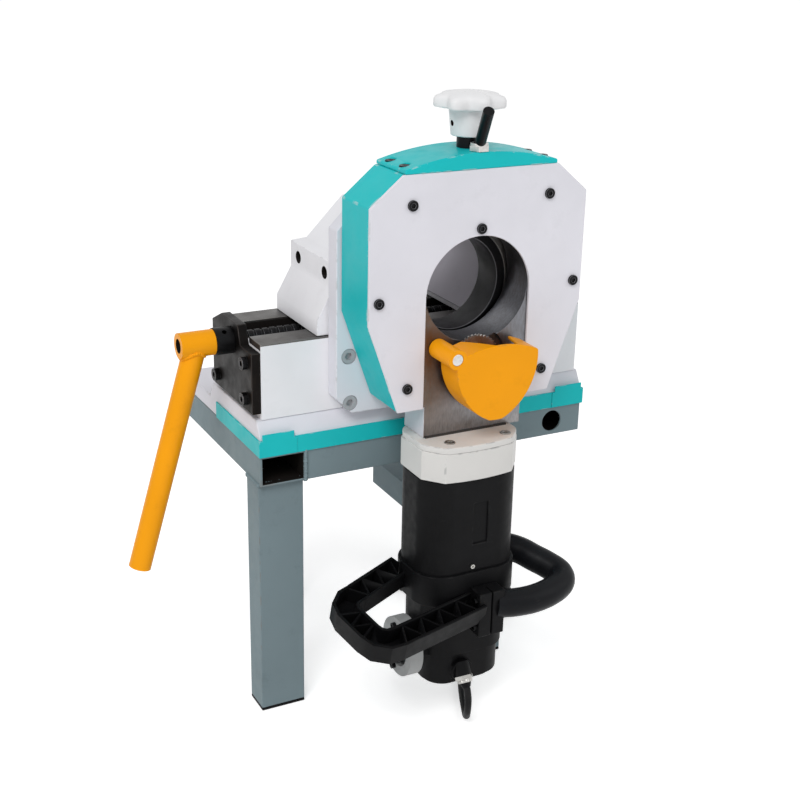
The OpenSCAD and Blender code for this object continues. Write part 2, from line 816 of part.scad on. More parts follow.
module jaw_grips() {
    back_root = -jaw_open - grip_pad_t / sin(jaw_slope);
    back_tip = back_root + jaw_half_h / tan(jaw_slope);
    front_tip = -jaw_open + jaw_half_h / tan(jaw_slope);
    for (s = [-1, 1]) along_y(jaw_front + 3, jaw_back - 3) polygon([
        [back_root, 0], [-jaw_open, 0], [front_tip - 2, s * (jaw_half_h - 2 * tan(jaw_slope))],
        [back_tip, s * jaw_half_h],
    ]);
}

module jaw_left() {
    color("gainsboro") jaw();
}

module jaw_left_grips() {
    color("dimgray") jaw_grips();
}

module jaw_right() {
    color("gainsboro") mirror([1, 0, 0]) jaw();
}

module jaw_right_grips() {
    color("dimgray") mirror([1, 0, 0]) jaw_grips();
}

// Head

module head_housing() {
    side_in = slide_w / 2 + slide_clear;
    color("darkturquoise") difference() {
        along_y(plate_back, head_back) head_outline();
        block([-side_in, plate_back - eps, head_foot_z - eps], [side_in, pocket_back, head_top + eps]);
        rod_y(0, 0, pocket_back - eps, head_back + eps, bush_or);
        rod_y(0, 0, pocket_back - eps, bush_front, retainer_r + 3);
        for (s = [-1, 1], c = cheek_pockets)
            block([s * c[0] - c[1], plate_back - eps, c[2]], [s * c[0] + c[1], pocket_back, c[3]]);
        for (p = plate_screw_places) rod_y(p[0], p[1], plate_back - eps, plate_back + 22, plate_screw_d / 2);
        for (s = [-1, 1], y = cap_screw_ys) rod_z(s * cap_screw_x, y, head_top - 22, head_top + eps, 4);
    }
}

module front_plate() {
    color("whitesmoke") difference() {
        along_y(head_front, plate_back) difference() {
            head_outline();
            circle(slot_r);
            translate([-slot_r, head_foot_z - eps]) square([slot_w, -head_foot_z + eps]);
        }
        for (p = plate_screw_places) rod_y(p[0], p[1], head_front - eps, plate_back + eps, plate_screw_d / 2);
        rod_y(0, slot_screw_z, head_front - eps, plate_back + eps, plate_screw_d / 2);
    }
}

module front_plate_screws() {
    head_h = 3;
    color("black") {
        for (p = plate_screw_places)
            socket_screw_y(p[0], p[1], head_front, plate_screw_d, head_h, plate_t + 20);
        socket_screw_y(0, slot_screw_z, head_front, plate_screw_d, head_h, plate_t);
    }
}

module top_cap() {
    color("darkturquoise") difference() {
        intersection() {
            rod_y(0, cap_top - cap_r, head_front, head_back, cap_r, $fn = 720);
            block([-cap_half, head_front, head_top], [cap_half, head_back, cap_top]);
        }
        rod_z(0, knob_y, head_top - eps, cap_top + eps, feed_spindle_d / 2 + run_clear);
        rod_z(clamp_x, clamp_y, head_top - eps, cap_top + eps, clamp_stud_r + run_clear);
        for (s = [-1, 1], y = cap_screw_ys) rod_z(s * cap_screw_x, y, head_top - eps, cap_top, 4);
        for (s = [-1, 1], y = cap_screw_ys) rod_z(s * cap_screw_x, y, head_top + 3, cap_top, 7);
    }
}

module top_cap_screws() {
    color("black") for (s = [-1, 1], y = cap_screw_ys)
        socket_screw_z(s * cap_screw_x, y, head_top + 3, 8, 4.5, 22);
}

module head_bush() {
    color("goldenrod") difference() {
        rod_y(0, 0, bush_front, head_back, bush_or);
        rod_y(0, 0, bush_front - eps, head_back + eps, bush_ir);
    }
}

module feed_collar() {
    color("black") difference() {
        rod_z(0, knob_y, cap_top, feed_collar_top, feed_collar_d / 2);
        rod_z(0, knob_y, cap_top - eps, feed_collar_top + eps, feed_spindle_d / 2 + run_clear);
    }
}

module feed_spindle() {
    low = bridge_top - bridge_h - feed_drop + 2;
    thrust_z = head_top - 6;
    color("silver") {
        rod_z(0, knob_y, low, knob_hub_top - 4, feed_spindle_d / 2);
        rod_z(0, knob_y, thrust_z, head_top - move_gap, feed_spindle_d / 2 + 5);
    }
}

module feed_knob() {
    lobe_r = 0.13 * knob_d;
    color("white") difference() {
        union() {
            rod_z(0, knob_y, feed_collar_top + move_gap, knob_hub_top, knob_hub_d / 2);
            rod_z(0, knob_y, knob_hub_top - eps, knob_z + eps, 0.36 * knob_d);
            translate([0, knob_y, knob_z]) linear_extrude(knob_h) {
                circle(0.4 * knob_d);
                for (i = [0 : knob_lobes - 1]) rotate(i * 360 / knob_lobes + 8)
                    translate([knob_d / 2 - lobe_r, 0]) circle(lobe_r);
            }
        }
        rod_z(0, knob_y, feed_collar_top, knob_hub_top - 4, feed_spindle_d / 2 + fit_clear);
        translate([0, knob_y, feed_collar_top + knob_hub_h / 2]) rotate([0, -90, 0])
            cylinder(h = knob_hub_d, d = 7);
    }
}

// A round bar along the clamp's lean, from inside its hub
module clamp_bar(r) {
    lean = atan2(norm([clamp_lean[0], clamp_lean[1]]), clamp_lean[2]);
    turn = atan2(clamp_lean[1], clamp_lean[0]);
    translate([clamp_x, clamp_y, clamp_z + clamp_hub_h / 2]) rotate([0, lean, turn])
        cylinder(h = norm(clamp_lean), r = r);
}

module clamp_hub() {
    color("silver") difference() {
        union() {
            rod_z(clamp_x, clamp_y, clamp_z, clamp_z + clamp_hub_h, clamp_hub_d / 2 - 2);
            translate([clamp_x, clamp_y, clamp_z])
                cylinder(h = clamp_hub_h - 3, d = clamp_hub_d, $fn = 6);
            rod_z(clamp_x, clamp_y, head_top - 3, cap_top + 1, clamp_stud_r);
        }
        clamp_bar(clamp_rod_d / 2 + fit_clear);
    }
}

module clamp_rod() {
    color("black") clamp_bar(clamp_rod_d / 2);
}

// Slide and its drive

module slide() {
    half = slide_w / 2;
    raised_r = slot_r - slide_clear;
    neck_half = neck_w / 2;
    color("darkgray") difference() {
        union() {
            block([-half, slide_front, head_foot_z + 1], [half, slide_back, bridge_top]);
            along_y(face_y, slide_front + eps) {
                translate([0, -feed_travel]) circle(raised_r);
                translate([-raised_r, head_foot_z + 1])
                    square([2 * raised_r, -feed_travel - head_foot_z - 1]);
            }
            block([-neck_half, face_y, neck_foot_z], [neck_half, slide_back, head_foot_z + 2]);
        }
        rod_y(0, slide_bore_lift, face_y - eps, slide_back + eps, slide_bore_r);
        rod_y(0, spindle_z, face_y - eps, blade_pocket_y, blade_pocket_r);
        rod_y(0, spindle_z, blade_pocket_y - eps, gear_chamber_y + eps, spindle_bearing_d / 2);
        rod_y(0, spindle_z, gear_chamber_y, slide_back + eps, gear_chamber_r);
        rod_z(0, drive_y, neck_foot_z - eps, spindle_z, drive_bore_r);
        rod_z(0, knob_y, bridge_top - bridge_h - 2, bridge_top + eps, feed_nut_r);
        rod_y(-guard_pin_x, guard_pin_z, face_y - eps, face_y + 20, guard_pin_d / 2);
        for (p = gearbox_screw_places()) rod_z(p[0], p[1], neck_foot_z - eps, neck_foot_z + 24, 4);
    }
}

module feed_nut() {
    color("goldenrod") difference() {
        rod_z(0, knob_y, bridge_top - bridge_h + 1, bridge_top, feed_nut_r - fit_clear);
        rod_z(0, knob_y, bridge_top - bridge_h, bridge_top + eps, feed_spindle_d / 2 + run_clear);
    }
}

// Screws that hold the gearbox cover to the neck's foot, from below
function gearbox_screw_places() = [
    for (x = [-neck_w / 2 + 12, neck_w / 2 - motor_left - 22]) for (y = [face_y + 12, slide_back - 12]) [x, y]
];

// Outline of the gearbox: a rectangle with cut corners and a bowed front
module gearbox_outline() {
    cut = 20;
    a = motor_w / 2;
    b = motor_depth / 2;
    translate([motor_x, motor_y]) {
        polygon([
            [-a, -b + cut + 4], [-a + cut, -b], [a - cut, -b], [a, -b + cut + 4],
            [a, b - cut], [a - cut, b], [-a + cut, b], [-a, b - cut],
        ]);
        bow = 5;
        bow_half = a - cut;
        bow_r = (bow_half * bow_half + bow * bow) / (2 * bow);
        intersection() {
            translate([0, -b - bow + bow_r]) circle(bow_r, $fn = 96);
            translate([-bow_half, -b - bow]) square([2 * bow_half, bow + 1]);
        }
    }
}

module gearbox_cover() {
    color("ivory") difference() {
        translate([0, 0, cover_z]) linear_extrude(cover_h) gearbox_outline();
        rod_z(0, drive_y, cover_z - eps, neck_foot_z + eps, drive_shaft_d / 2 + 2);
        for (p = gearbox_screw_places()) rod_z(p[0], p[1], cover_z - eps, neck_foot_z + eps, 4);
        for (x = front_screw_xs()) {
            rod_z(x, front_screw_y(), cover_z - eps, neck_foot_z + eps, 4);
            rod_z(x, front_screw_y(), neck_foot_z - shelf_sink, neck_foot_z + eps, 7);
        }
    }
}

// The two screws on the cover's front shelf
function front_screw_xs() = [motor_x - motor_w / 2 + 34, motor_x + motor_w / 2 - 22];
function front_screw_y() = motor_y - motor_depth / 2 + 16;
// How deep their heads lie in the shelf
shelf_sink = 3;

module gearbox_screws() {
    color("silver") {
        for (p = gearbox_screw_places()) {
            rod_z(p[0], p[1], cover_z, neck_foot_z + 22, 4 - fit_clear);
            rod_z(p[0], p[1], cover_z - 5, cover_z, 6.5);
        }
        for (x = front_screw_xs()) socket_screw_z(x, front_screw_y(), neck_foot_z - shelf_sink, 8, 4, 22);
    }
}

module gearbox_housing() {
    room = 5;
    color("ivory") difference() {
        translate([0, 0, gearbox_z]) linear_extrude(gearbox_h) gearbox_outline();
        translate([motor_x, motor_y, gearbox_z + 6]) linear_extrude(gearbox_h)
            round_rect(motor_w - 2 * room, motor_depth - 2 * room, motor_corner - room);
        rod_z(motor_x, motor_y, gearbox_z - eps, cover_z, armature_shaft_d / 2 + 3);
        rod_z(0, drive_y, gearbox_z + 1, cover_z, drive_shaft_d / 2 + run_clear);
    }
    color("ivory") for (x = front_screw_xs()) difference() {
        rod_z(x, front_screw_y(), gearbox_z + 3, cover_z, 7);
        rod_z(x, front_screw_y(), cover_z - 18, cover_z + eps, 4);
    }
}

module motor_casing() {
    color([0.08, 0.08, 0.09]) difference() {
        union() {
            translate([motor_x, motor_y, casing_z]) linear_extrude(casing_h)
                round_rect(motor_w, motor_depth, motor_corner);
            translate([motor_x, motor_y, casing_z]) linear_extrude(collar_h)
                round_rect(motor_w + 2 * collar_out, motor_depth + 2 * collar_out, motor_corner + collar_out);
        }
        rod_z(motor_x, motor_y, casing_z - eps, gearbox_z - casing_floor, stator_r + fit_clear);
        rod_z(motor_x, motor_y, casing_z, gearbox_z + eps, armature_shaft_d / 2 + 2);
        rod_z(motor_x, motor_y, gearbox_z - motor_bearing_w, gearbox_z + eps, motor_bearing_d / 2);
    }
}

module motor_end_cap() {
    shell_in = 5;
    step_h = 0.62 * end_cap_h;
    color([0.08, 0.08, 0.09]) difference() {
        union() {
            translate([motor_x, motor_y, end_cap_z + end_cap_h - step_h]) linear_extrude(step_h)
                round_rect(end_cap_w, end_cap_depth - 4, motor_corner - 4);
            translate([motor_x, motor_y, end_cap_z + 6]) linear_extrude(end_cap_h - step_h)
                round_rect(end_cap_w - 8, end_cap_depth - 12, motor_corner - 6);
            translate([motor_x, motor_y, end_cap_z]) linear_extrude(7)
                round_rect(end_cap_w - 20, end_cap_depth - 24, motor_corner - 10);
            rod_y(gland_x, gland_z, motor_y - end_cap_depth / 2, motor_y, 15);
            rod_x(motor_y, bezel_z, switch_x, motor_x, bezel_d / 2 - 8);
        }
        translate([motor_x, motor_y, end_cap_z + 6 + shell_in])
            linear_extrude(end_cap_h - 6 - shell_in - casing_floor)
                round_rect(end_cap_w - 8 - 2 * shell_in, end_cap_depth - 12 - 2 * shell_in, motor_corner - 8);
        rod_z(motor_x, motor_y, casing_z - casing_floor - eps, casing_z + eps, armature_shaft_d / 2 + 2);
        rod_z(motor_x, motor_y, casing_z - motor_bearing_w, casing_z + eps, motor_bearing_d / 2);
        rod_x(motor_y, bezel_z, switch_x - eps, switch_x + switch_shaft_len + 1, switch_shaft_r + run_clear);
    }
}

module stator() {
    color("peru") difference() {
        rod_z(motor_x, motor_y, gearbox_z - 112, gearbox_z - 40, stator_r);
        rod_z(motor_x, motor_y, gearbox_z - 113, gearbox_z - 39, armature_r + 1);
    }
}

module bearing_z(x, y, z0, w, bore, outside) {
    difference() {
        rod_z(x, y, z0, z0 + w, outside / 2 - fit_clear / 2);
        rod_z(x, y, z0 - eps, z0 + w + eps, bore / 2 + run_clear);
    }
}

module motor_bearings() {
    color("silver") for (z = [gearbox_z, casing_z])
        bearing_z(motor_x, motor_y, z - motor_bearing_w, motor_bearing_w, armature_shaft_d, motor_bearing_d);
}

module spindle_bearings() {
    color("silver") {
        for (i = [0, 1]) difference() {
            y0 = blade_pocket_y + 0.5 + i * (spindle_bearing_w + 0.2);
            rod_y(0, spindle_z, y0, y0 + spindle_bearing_w, spindle_bearing_d / 2 - fit_clear / 2);
            rod_y(0, spindle_z, y0 - eps, y0 + spindle_bearing_w + eps, spindle_r + run_clear);
        }
        bearing_z(0, drive_y, drive_bearing_top - drive_bearing_w, drive_bearing_w,
                  drive_shaft_d, 2 * drive_bore_r);
    }
}

module rotor() {
    shaft_r = armature_shaft_d / 2;
    pinion_root_r = spur_module * (pinion_teeth / 2 - 1.25);
    color("silver") {
        rod_z(motor_x, motor_y, casing_z - casing_floor - 4, spur_top - spur_w - 1, shaft_r);
        rod_z(motor_x, motor_y, spur_top - spur_w - 1 - eps, spur_top + 4, pinion_root_r);
        translate([motor_x, motor_y, spur_top - spur_w]) rotate([0, 0, spur_angle])
            linear_extrude(spur_w) gear_outline(pinion_teeth, spur_module * pinion_teeth / 2);
        rod_z(motor_x, motor_y, gearbox_z - 114, gearbox_z - 38, armature_r);
        rod_z(motor_x, motor_y, gearbox_z - 140, gearbox_z - 122, 15);
        rod_z(motor_x, motor_y, gearbox_z - 32, gearbox_z - 28, 36);
    }
}

module drive_shaft() {
    color("silver") {
        rod_z(0, drive_y, gearbox_z + 2, bevel_pinion_z + 2, drive_shaft_d / 2);
        translate([0, drive_y, spur_top - spur_w]) rotate([0, 0, spur_angle + 180 + 180 / spur_teeth])
            linear_extrude(spur_w) gear_outline(spur_teeth, spur_module * spur_teeth / 2);
        translate([0, drive_y, bevel_pinion_z]) rotate([0, 0, 90])
            linear_extrude(bevel_gear_r * (1 - bevel_small), scale = bevel_small)
                gear_outline(bevel_pinion_teeth, bevel_pinion_r);
        rod_z(0, drive_y, bevel_pinion_z - 6, bevel_pinion_z + eps, bevel_pinion_r - 1.5);
    }
}

module blade_spindle() {
    color("silver") {
        rod_y(0, spindle_z, blade_back, spindle_end_y, spindle_r);
        rod_y(0, spindle_z, blade_back, blade_pocket_y - move_gap, spindle_r + 5.5);
        translate([0, bevel_gear_y, spindle_z]) rotate([90, 90 + 180 / bevel_gear_teeth, 0])
            linear_extrude(bevel_pinion_r * (1 - bevel_small), scale = bevel_small)
                gear_outline(bevel_gear_teeth, bevel_gear_r);
        rod_y(0, spindle_z, bevel_gear_y - eps, bevel_gear_y + 3.5, bevel_gear_r - 4);
    }
}

module blade() {
    step = 360 / blade_teeth;
    color("silver") difference() {
        along_y(blade_front, blade_back) translate([0, spindle_z]) difference() {
            polygon([for (i = [0 : blade_teeth - 1]) each [
                for (p = [[0, blade_r], [0.35, blade_r - 0.6], [0.75, blade_r - 2.6], [0.9, blade_r - 2.2]])
                let (a = (i + p[0]) * step) [p[1] * cos(a), p[1] * sin(a)]
            ]]);
            circle(5 + fit_clear);
            for (i = [0 : 3]) rotate(45 + 90 * i) translate([22, 0]) circle(2.5);
        }
    }
}

module blade_screw() {
    head_h = 5;
    color("black") difference() {
        union() {
            rod_y(0, spindle_z, blade_front - head_h, blade_front, 9);
            rod_y(0, spindle_z, blade_front - eps, blade_back, 5);
        }
        translate([0, blade_front - head_h - eps, spindle_z]) rotate([-90, 0, 0])
            cylinder(h = 3, d = 8, $fn = 6);
    }
}

// Outline of the guard's face in x and z, bounded by arcs and drawn in by an inset
module guard_outline(inset) {
    intersection_for (a = guard_arcs)
        translate([a[0] - guard_pin_x, a[1] + guard_pin_z]) circle(a[2] - inset, $fn = 96);
}

module guard() {
    boss_back = face_y - 1;
    color("orange") difference() {
        union() {
            difference() {
                along_y(guard_face_y, guard_y) guard_outline(0);
                along_y(guard_face_y + guard_t, guard_y + eps) guard_outline(guard_t);
                translate([0, 0, guard_gap_low]) linear_extrude(40) polygon(guard_gap);
            }
            rod_y(-guard_pin_x, guard_pin_z, guard_face_y, boss_back, guard_boss_r);
        }
        rod_y(-guard_pin_x, guard_pin_z, guard_face_y - eps, boss_back + eps, guard_pin_d / 2 + run_clear);
        rod_y(-guard_pin_x, guard_pin_z, guard_face_y - eps, guard_face_y + ring_seat, ring_r + 0.5);
    }
}

module guard_pin() {
    ring_back = guard_face_y + ring_seat - move_gap;
    color("silver") {
        rod_y(-guard_pin_x, guard_pin_z, guard_face_y + 0.5, face_y + 19, guard_pin_d / 2);
        rod_y(-guard_pin_x, guard_pin_z, ring_back - 1.8, ring_back, ring_r);
    }
}

// Handles, drawn flat in x and along their own slope, then tilted round the front line at handle_y
handle_y = -167;
handle_z = -414;

module on_handle_slope() {
    translate([0, handle_y, handle_z]) rotate([handle_tilt, 0, 0]) children();
}

channel_points = [
    [-14, 44], [-138, 16.6], [-152, 16], [-164, 23], [-170, 35],
    [-180, 72], [-179, 85], [-170, 95], [-157, 100.2], [-82, 131],
];
// Stretches of the channel that have zigzag ribs, with the number of ribs in each
rib_runs = [[[-26, 41.3], [-138, 16.6], 8], [[-169, 32], [-180.5, 76], 4], [[-160, 99], [-86, 129.4], 6]];
rib_t = 2.4;

// Thin ribs from wall to wall and back along one stretch of the channel
module zigzag(p, q, count) {
    run = q - p;
    side = (channel_w - channel_wall) / 2 * unit([-run[1], run[0]]);
    for (i = [0 : count - 1]) let (s = i % 2 == 0 ? 1 : -1)
        ribbon([p + run * i / count + s * side, p + run * (i + 1) / count - s * side], rib_t);
}

module handle_left() {
    color([0.08, 0.08, 0.09]) difference() {
        on_handle_slope() union() {
            difference() {
                linear_extrude(channel_h) ribbon(channel_points, channel_w);
                translate([0, 0, channel_wall]) linear_extrude(channel_h)
                    ribbon(channel_points, channel_w - 2 * channel_wall);
            }
            translate([0, 0, channel_wall / 2]) linear_extrude(channel_h - channel_wall)
                for (r = rib_runs) zigzag(r[0], r[1], r[2]);
        }
        collar_cutter();
        bracket_block(fit_clear);
    }
}

grip_points = [
    [0, 38, 13], [30, 34, 13], [62, 34, 13], [92, 39, 13], [114, 50, 13], [121, 66, 13],
    [114, 84, 13], [103, 102, 13], [92, 120, 13], [76, 133, 13], [54, 137, 13], [36, 136, 13],
];
grip_steps = 3;
grip_sides = 16;

module handle_right() {
    color([0.08, 0.08, 0.09]) difference() {
        on_handle_slope() swept_tube(smooth(grip_points, grip_steps), grip_d / 2, grip_sides, [0, 0, 1]);
        collar_cutter();
        bracket_block(fit_clear);
    }
}

// The clamp in front of the motor that holds both handles, with its slit and two bolts
bracket_x0 = motor_x - 7;
bracket_x1 = motor_x + 29;
bracket_y = motor_y - motor_depth / 2 - collar_out;
bracket_out = 24;
bracket_z0 = casing_z - 38;
bracket_z1 = casing_z + 22;

module bracket_block(grow) {
    block([bracket_x0 - grow, bracket_y - bracket_out - grow, bracket_z0 - grow],
          [bracket_x1 + grow, bracket_y + 2, bracket_z1 + grow]);
}

// The motor's collar, grown by a clearance, as a cutter for what is bolted against it
module collar_cutter() {
    grow = collar_out + fit_clear;
    translate([motor_x, motor_y, end_cap_z]) linear_extrude(gearbox_z - end_cap_z)
        round_rect(motor_w + 2 * grow, motor_depth + 2 * grow, motor_corner + grow);
}

module handle_bracket() {
    slit = 2;
    mid = (bracket_x0 + bracket_x1) / 2;
    color([0.08, 0.08, 0.09]) difference() {
        bracket_block(0);
        block([mid - slit / 2, bracket_y - bracket_out - eps, bracket_z0 - eps],
              [mid + slit / 2, bracket_y - 7, bracket_z1 + eps]);
        for (z = [bracket_z0 + 12, bracket_z1 - 12])
            rod_x(bracket_y - bracket_out + 9, z, bracket_x0 - eps, bracket_x1 + eps, 3);
        collar_cutter();
    }
}

// Switch, on its shaft in the end cap

module switch_bezel() {
    color("gray") difference() {
        rod_x(motor_y, bezel_z, switch_x - bezel_proud + 4, switch_x, bezel_d / 2);
        rod_x(motor_y, bezel_z, switch_x - bezel_proud, switch_x + eps, bezel_d / 2 - 13);
    }
}

module switch_knob() {
    knob_r = bezel_d / 2 - 17;
    color("black") {
        rod_x(motor_y, bezel_z, switch_x - bezel_proud + 8, switch_x - move_gap, knob_r);
        rod_x(motor_y, bezel_z, switch_x - 1, switch_x + switch_shaft_len, switch_shaft_r);
        block([switch_x - bezel_proud - 2, motor_y - 5, bezel_z - knob_r + 3],
              [switch_x - bezel_proud + 9, motor_y + 5, bezel_z + knob_r - 3]);
    }
}

// Lead, from the gland to the floor and back under the motor, then a coil and a plug

gland_face_y = motor_y - end_cap_depth / 2;
gland_len = 20;
gland_out = [0, -cos(gland_tilt), -sin(gland_tilt)];
gland_end = [gland_x, gland_face_y, gland_z] + gland_len * gland_out;
lead_r = lead_d / 2;
lead_sides = 8;
// How far the lead runs straight out of the gland
lead_straight = 5;
floor_lead_z = floor_z + lead_r + 0.4;

module cable_gland() {
    color("silver") difference() {
        translate([gland_x, gland_face_y, gland_z]) rotate([90 + gland_tilt, 0, 0]) {
            translate([0, 0, -14]) cylinder(h = 21, d = 22);
            translate([0, 0, 6]) cylinder(h = 7, d = 24, $fn = 6);
            translate([0, 0, 12]) cylinder(h = 4, d = 19);
            translate([0, 0, 15]) cylinder(h = gland_len - 15, d = 15);
        }
        block([gland_x - 30, gland_face_y, gland_z - 40], [gland_x + 30, gland_face_y + 40, gland_z + 40]);
    }
}

function tangents(p) = [for (i = [0 : len(p) - 1]) unit(p[min(i + 1, len(p) - 1)] - p[max(i - 1, 0)])];

// Triangles of a closed tube with this many rings and sides
function tube_faces(rings, sides) = concat(
    [for (i = [0 : rings - 2]) for (j = [0 : sides - 1]) each let (
        a = i * sides + j, b = i * sides + (j + 1) % sides, c = a + sides, d = b + sides)
        [[a, c, b], [b, c, d]]],
    [for (j = [1 : sides - 2]) [0, j, j + 1]],
    [for (j = [1 : sides - 2]) let (o = (rings - 1) * sides) [o, o + j + 1, o + j]]);

// Points of a smooth curve through the given points, with this many steps between each pair
function smooth(p, steps) = concat(
    [for (i = [0 : len(p) - 2])
     let (a = p[max(i - 1, 0)], b = p[i], c = p[i + 1], d = p[min(i + 2, len(p) - 1)])
     for (k = [0 : steps - 1]) let (t = k / steps)
     b + t * (c - a) / 2 + t * t * (a - 2.5 * b + 2 * c - d / 2) + t * t * t * (-a + 3 * b - 3 * c + d) / 2],
    [p[len(p) - 1]]);

// A round tube swept along points, its rings turned from one steady direction
module swept_tube(points, r, sides, steady) {
    along = tangents(points);
    polyhedron([for (i = [0 : len(points) - 1])
        let (u = unit(cross(along[i], steady)), v = cross(along[i], u))
        for (j = [0 : sides - 1]) points[i] + r * (cos(360 * j / sides) * u + sin(360 * j / sides) * v)],
        tube_faces(len(points), sides));
}

// Where the lead meets the coil, behind the front legs
lead_end_y = base_front + tube_w + 15;

// The upper part moves with the motor; the lower part begins clear of it with the slide right down
upper_route = [
    gland_end, gland_end + lead_straight * gland_out, [-24, -131, -512.5], [-24, -132.5, -518],
    [-24, -133, -524.5],
];
lower_route = [
    [-23, -130.5, -539], [-21, -126.5, -546], [-18.5, -121.5, -552.5], [-15.5, -115, -557],
    [-12, -107.5, -560], [-8.5, -100, floor_lead_z], [-3.5, -88.5, floor_lead_z], [4, -72, floor_lead_z],
    [12.5, -54.5, floor_lead_z], [22, -35.5, floor_lead_z], [31.5, -15.5, floor_lead_z],
    [39, 4, floor_lead_z], [43, 21, floor_lead_z], [45, 36, floor_lead_z], [46, 47.5, floor_lead_z],
    [47.5, 58, floor_lead_z],
    [51.5, 68, floor_lead_z], [58, 76, floor_lead_z], [66.5, 82.5, floor_lead_z], [76, 86.5, floor_lead_z],
    [86.5, lead_end_y, floor_lead_z], [106.5, lead_end_y, floor_lead_z], [128, lead_end_y, floor_lead_z],
];
steady = [1, -1, 1];

module lead_upper() {
    color("black") swept_tube(upper_route, lead_r, lead_sides, steady);
}

module lead_lower() {
    color("black") swept_tube(lower_route, lead_r, lead_sides, steady);
}

// The coil: in on the floor, up in the half turn where it reverses, and out again over itself
coil_turns = coil_loops - 0.25;
coil_out_r = coil_mid_r + coil_step * coil_turns / 2;
coil_centre = [140, lead_end_y + coil_out_r];
coil_rings = 24;
coil_rise = lead_d + 0.6;
coil_sides = 6;

function coil_point(t) = let (
    r = coil_out_r - coil_step * (coil_turns - abs(t - coil_turns)),
    a = -90 + 360 * t,
    climb = max(0, min(1, (t - coil_turns + 0.25) / 0.5)))
    [coil_centre[0] + r * cos(a), coil_centre[1] + r * sin(a),
     floor_lead_z + coil_rise * (0.5 - 0.5 * cos(180 * climb))];

coil_run = [for (i = [0 : 2 * coil_turns * coil_rings]) coil_point(i / coil_rings)];
coil_start = coil_run[0];
coil_end = coil_run[len(coil_run) - 1];
coil_route = concat([coil_start - [lead_d + 2.5, 0, 0], coil_start - [2.5, 0, 0]], coil_run,
                    [coil_end - [2.5, 0, 0], coil_end - [lead_d + 2.5, 0, 0]]);
coil_length = sum_steps(coil_route, 0);
coil_gap = min([for (i = [0 : len(coil_run) - 1]) for (j = [i + 8 : 1 : len(coil_run) - 1])
                norm(coil_run[i] - coil_run[j])]) - lead_d;
echo(coil_gap = coil_gap, coil_length = coil_length,
     free_length = sum_steps(upper_route, 0) + sum_steps(lower_route, 0));

function sum_steps(p, i) = i >= len(p) - 1 ? 0 : norm(p[i + 1] - p[i]) + sum_steps(p, i + 1);

module lead_coil() {
    color("black") swept_tube(coil_route, lead_r, coil_sides, [0, 0, 1]);
}

module plug() {
    body_r = coil_end[2] - floor_z - 0.3;
    body_len = 36;
    boot_len = 26;
    boot_x = coil_end[0] - lead_d - 2.5 - boot_len;
    body_x = boot_x - body_len;
    pin_gap = 9.5;
    pin_len = 16;
    pin_d = 4.8;
    color("black") {
        rod_x(coil_end[1], coil_end[2], boot_x, boot_x + boot_len, 5.4);
        rod_x(coil_end[1], coil_end[2], body_x, boot_x + eps, body_r);
    }
    color("silver") for (s = [-1, 1])
        rod_x(coil_end[1] + s * pin_gap, coil_end[2], body_x - pin_len, body_x + eps, pin_d / 2);
}

stand_top_frame();
stand_legs();
stand_stretcher();
leg_caps();
base_casting();
base_trim();
base_bolts();
vise_body();
guide_rails();
end_plate();
end_plate_bolts();
flange();
flange_bolts();
liner();
hub_retainer();
vise_screw();
screw_collar();
crank_handle();
jaw_left();
jaw_left_grips();
jaw_right();
jaw_right_grips();
head_housing();
front_plate();
front_plate_screws();
top_cap();
top_cap_screws();
head_bush();
feed_collar();
feed_spindle();
feed_knob();
clamp_hub();
clamp_rod();
slide();
feed_nut();
gearbox_cover();
gearbox_screws();
gearbox_housing();
motor_casing();
motor_end_cap();
stator();
motor_bearings();
spindle_bearings();
handle_left();
handle_right();
handle_bracket();
switch_bezel();
switch_knob();
cable_gland();
blade();
blade_screw();
blade_spindle();
drive_shaft();
rotor();
guard();
guard_pin();
lead_upper();
lead_lower();
lead_coil();
plug();
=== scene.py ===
"""Looks of the orbital pipe cutter: enamel, steel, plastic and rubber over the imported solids."""
import json
import math

import bmesh
import bpy
from mathutils import Matrix, Vector


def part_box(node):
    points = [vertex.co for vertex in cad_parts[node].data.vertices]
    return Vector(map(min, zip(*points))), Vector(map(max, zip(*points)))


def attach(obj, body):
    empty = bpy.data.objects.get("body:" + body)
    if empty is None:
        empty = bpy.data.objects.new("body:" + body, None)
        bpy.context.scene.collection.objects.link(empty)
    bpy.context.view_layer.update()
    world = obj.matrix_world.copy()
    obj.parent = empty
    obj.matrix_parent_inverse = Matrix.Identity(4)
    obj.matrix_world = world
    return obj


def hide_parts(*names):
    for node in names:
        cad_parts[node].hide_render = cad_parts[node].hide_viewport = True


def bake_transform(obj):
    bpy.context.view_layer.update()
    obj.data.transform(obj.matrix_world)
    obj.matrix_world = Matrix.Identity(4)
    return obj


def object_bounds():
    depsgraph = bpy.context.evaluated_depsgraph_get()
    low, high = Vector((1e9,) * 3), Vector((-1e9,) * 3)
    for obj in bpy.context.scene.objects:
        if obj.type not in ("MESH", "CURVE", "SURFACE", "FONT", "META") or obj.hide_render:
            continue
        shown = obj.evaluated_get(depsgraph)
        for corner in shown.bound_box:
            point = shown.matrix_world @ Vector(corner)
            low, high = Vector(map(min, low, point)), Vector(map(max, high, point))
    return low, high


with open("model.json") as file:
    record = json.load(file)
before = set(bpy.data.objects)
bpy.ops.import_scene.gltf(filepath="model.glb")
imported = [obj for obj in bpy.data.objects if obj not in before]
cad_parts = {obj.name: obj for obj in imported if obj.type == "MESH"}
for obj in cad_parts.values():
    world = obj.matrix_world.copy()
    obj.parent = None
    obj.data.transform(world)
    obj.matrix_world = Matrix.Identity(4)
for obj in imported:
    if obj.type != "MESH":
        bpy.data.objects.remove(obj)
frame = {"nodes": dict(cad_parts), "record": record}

cad_low, cad_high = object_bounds()
nodes = frame["nodes"]
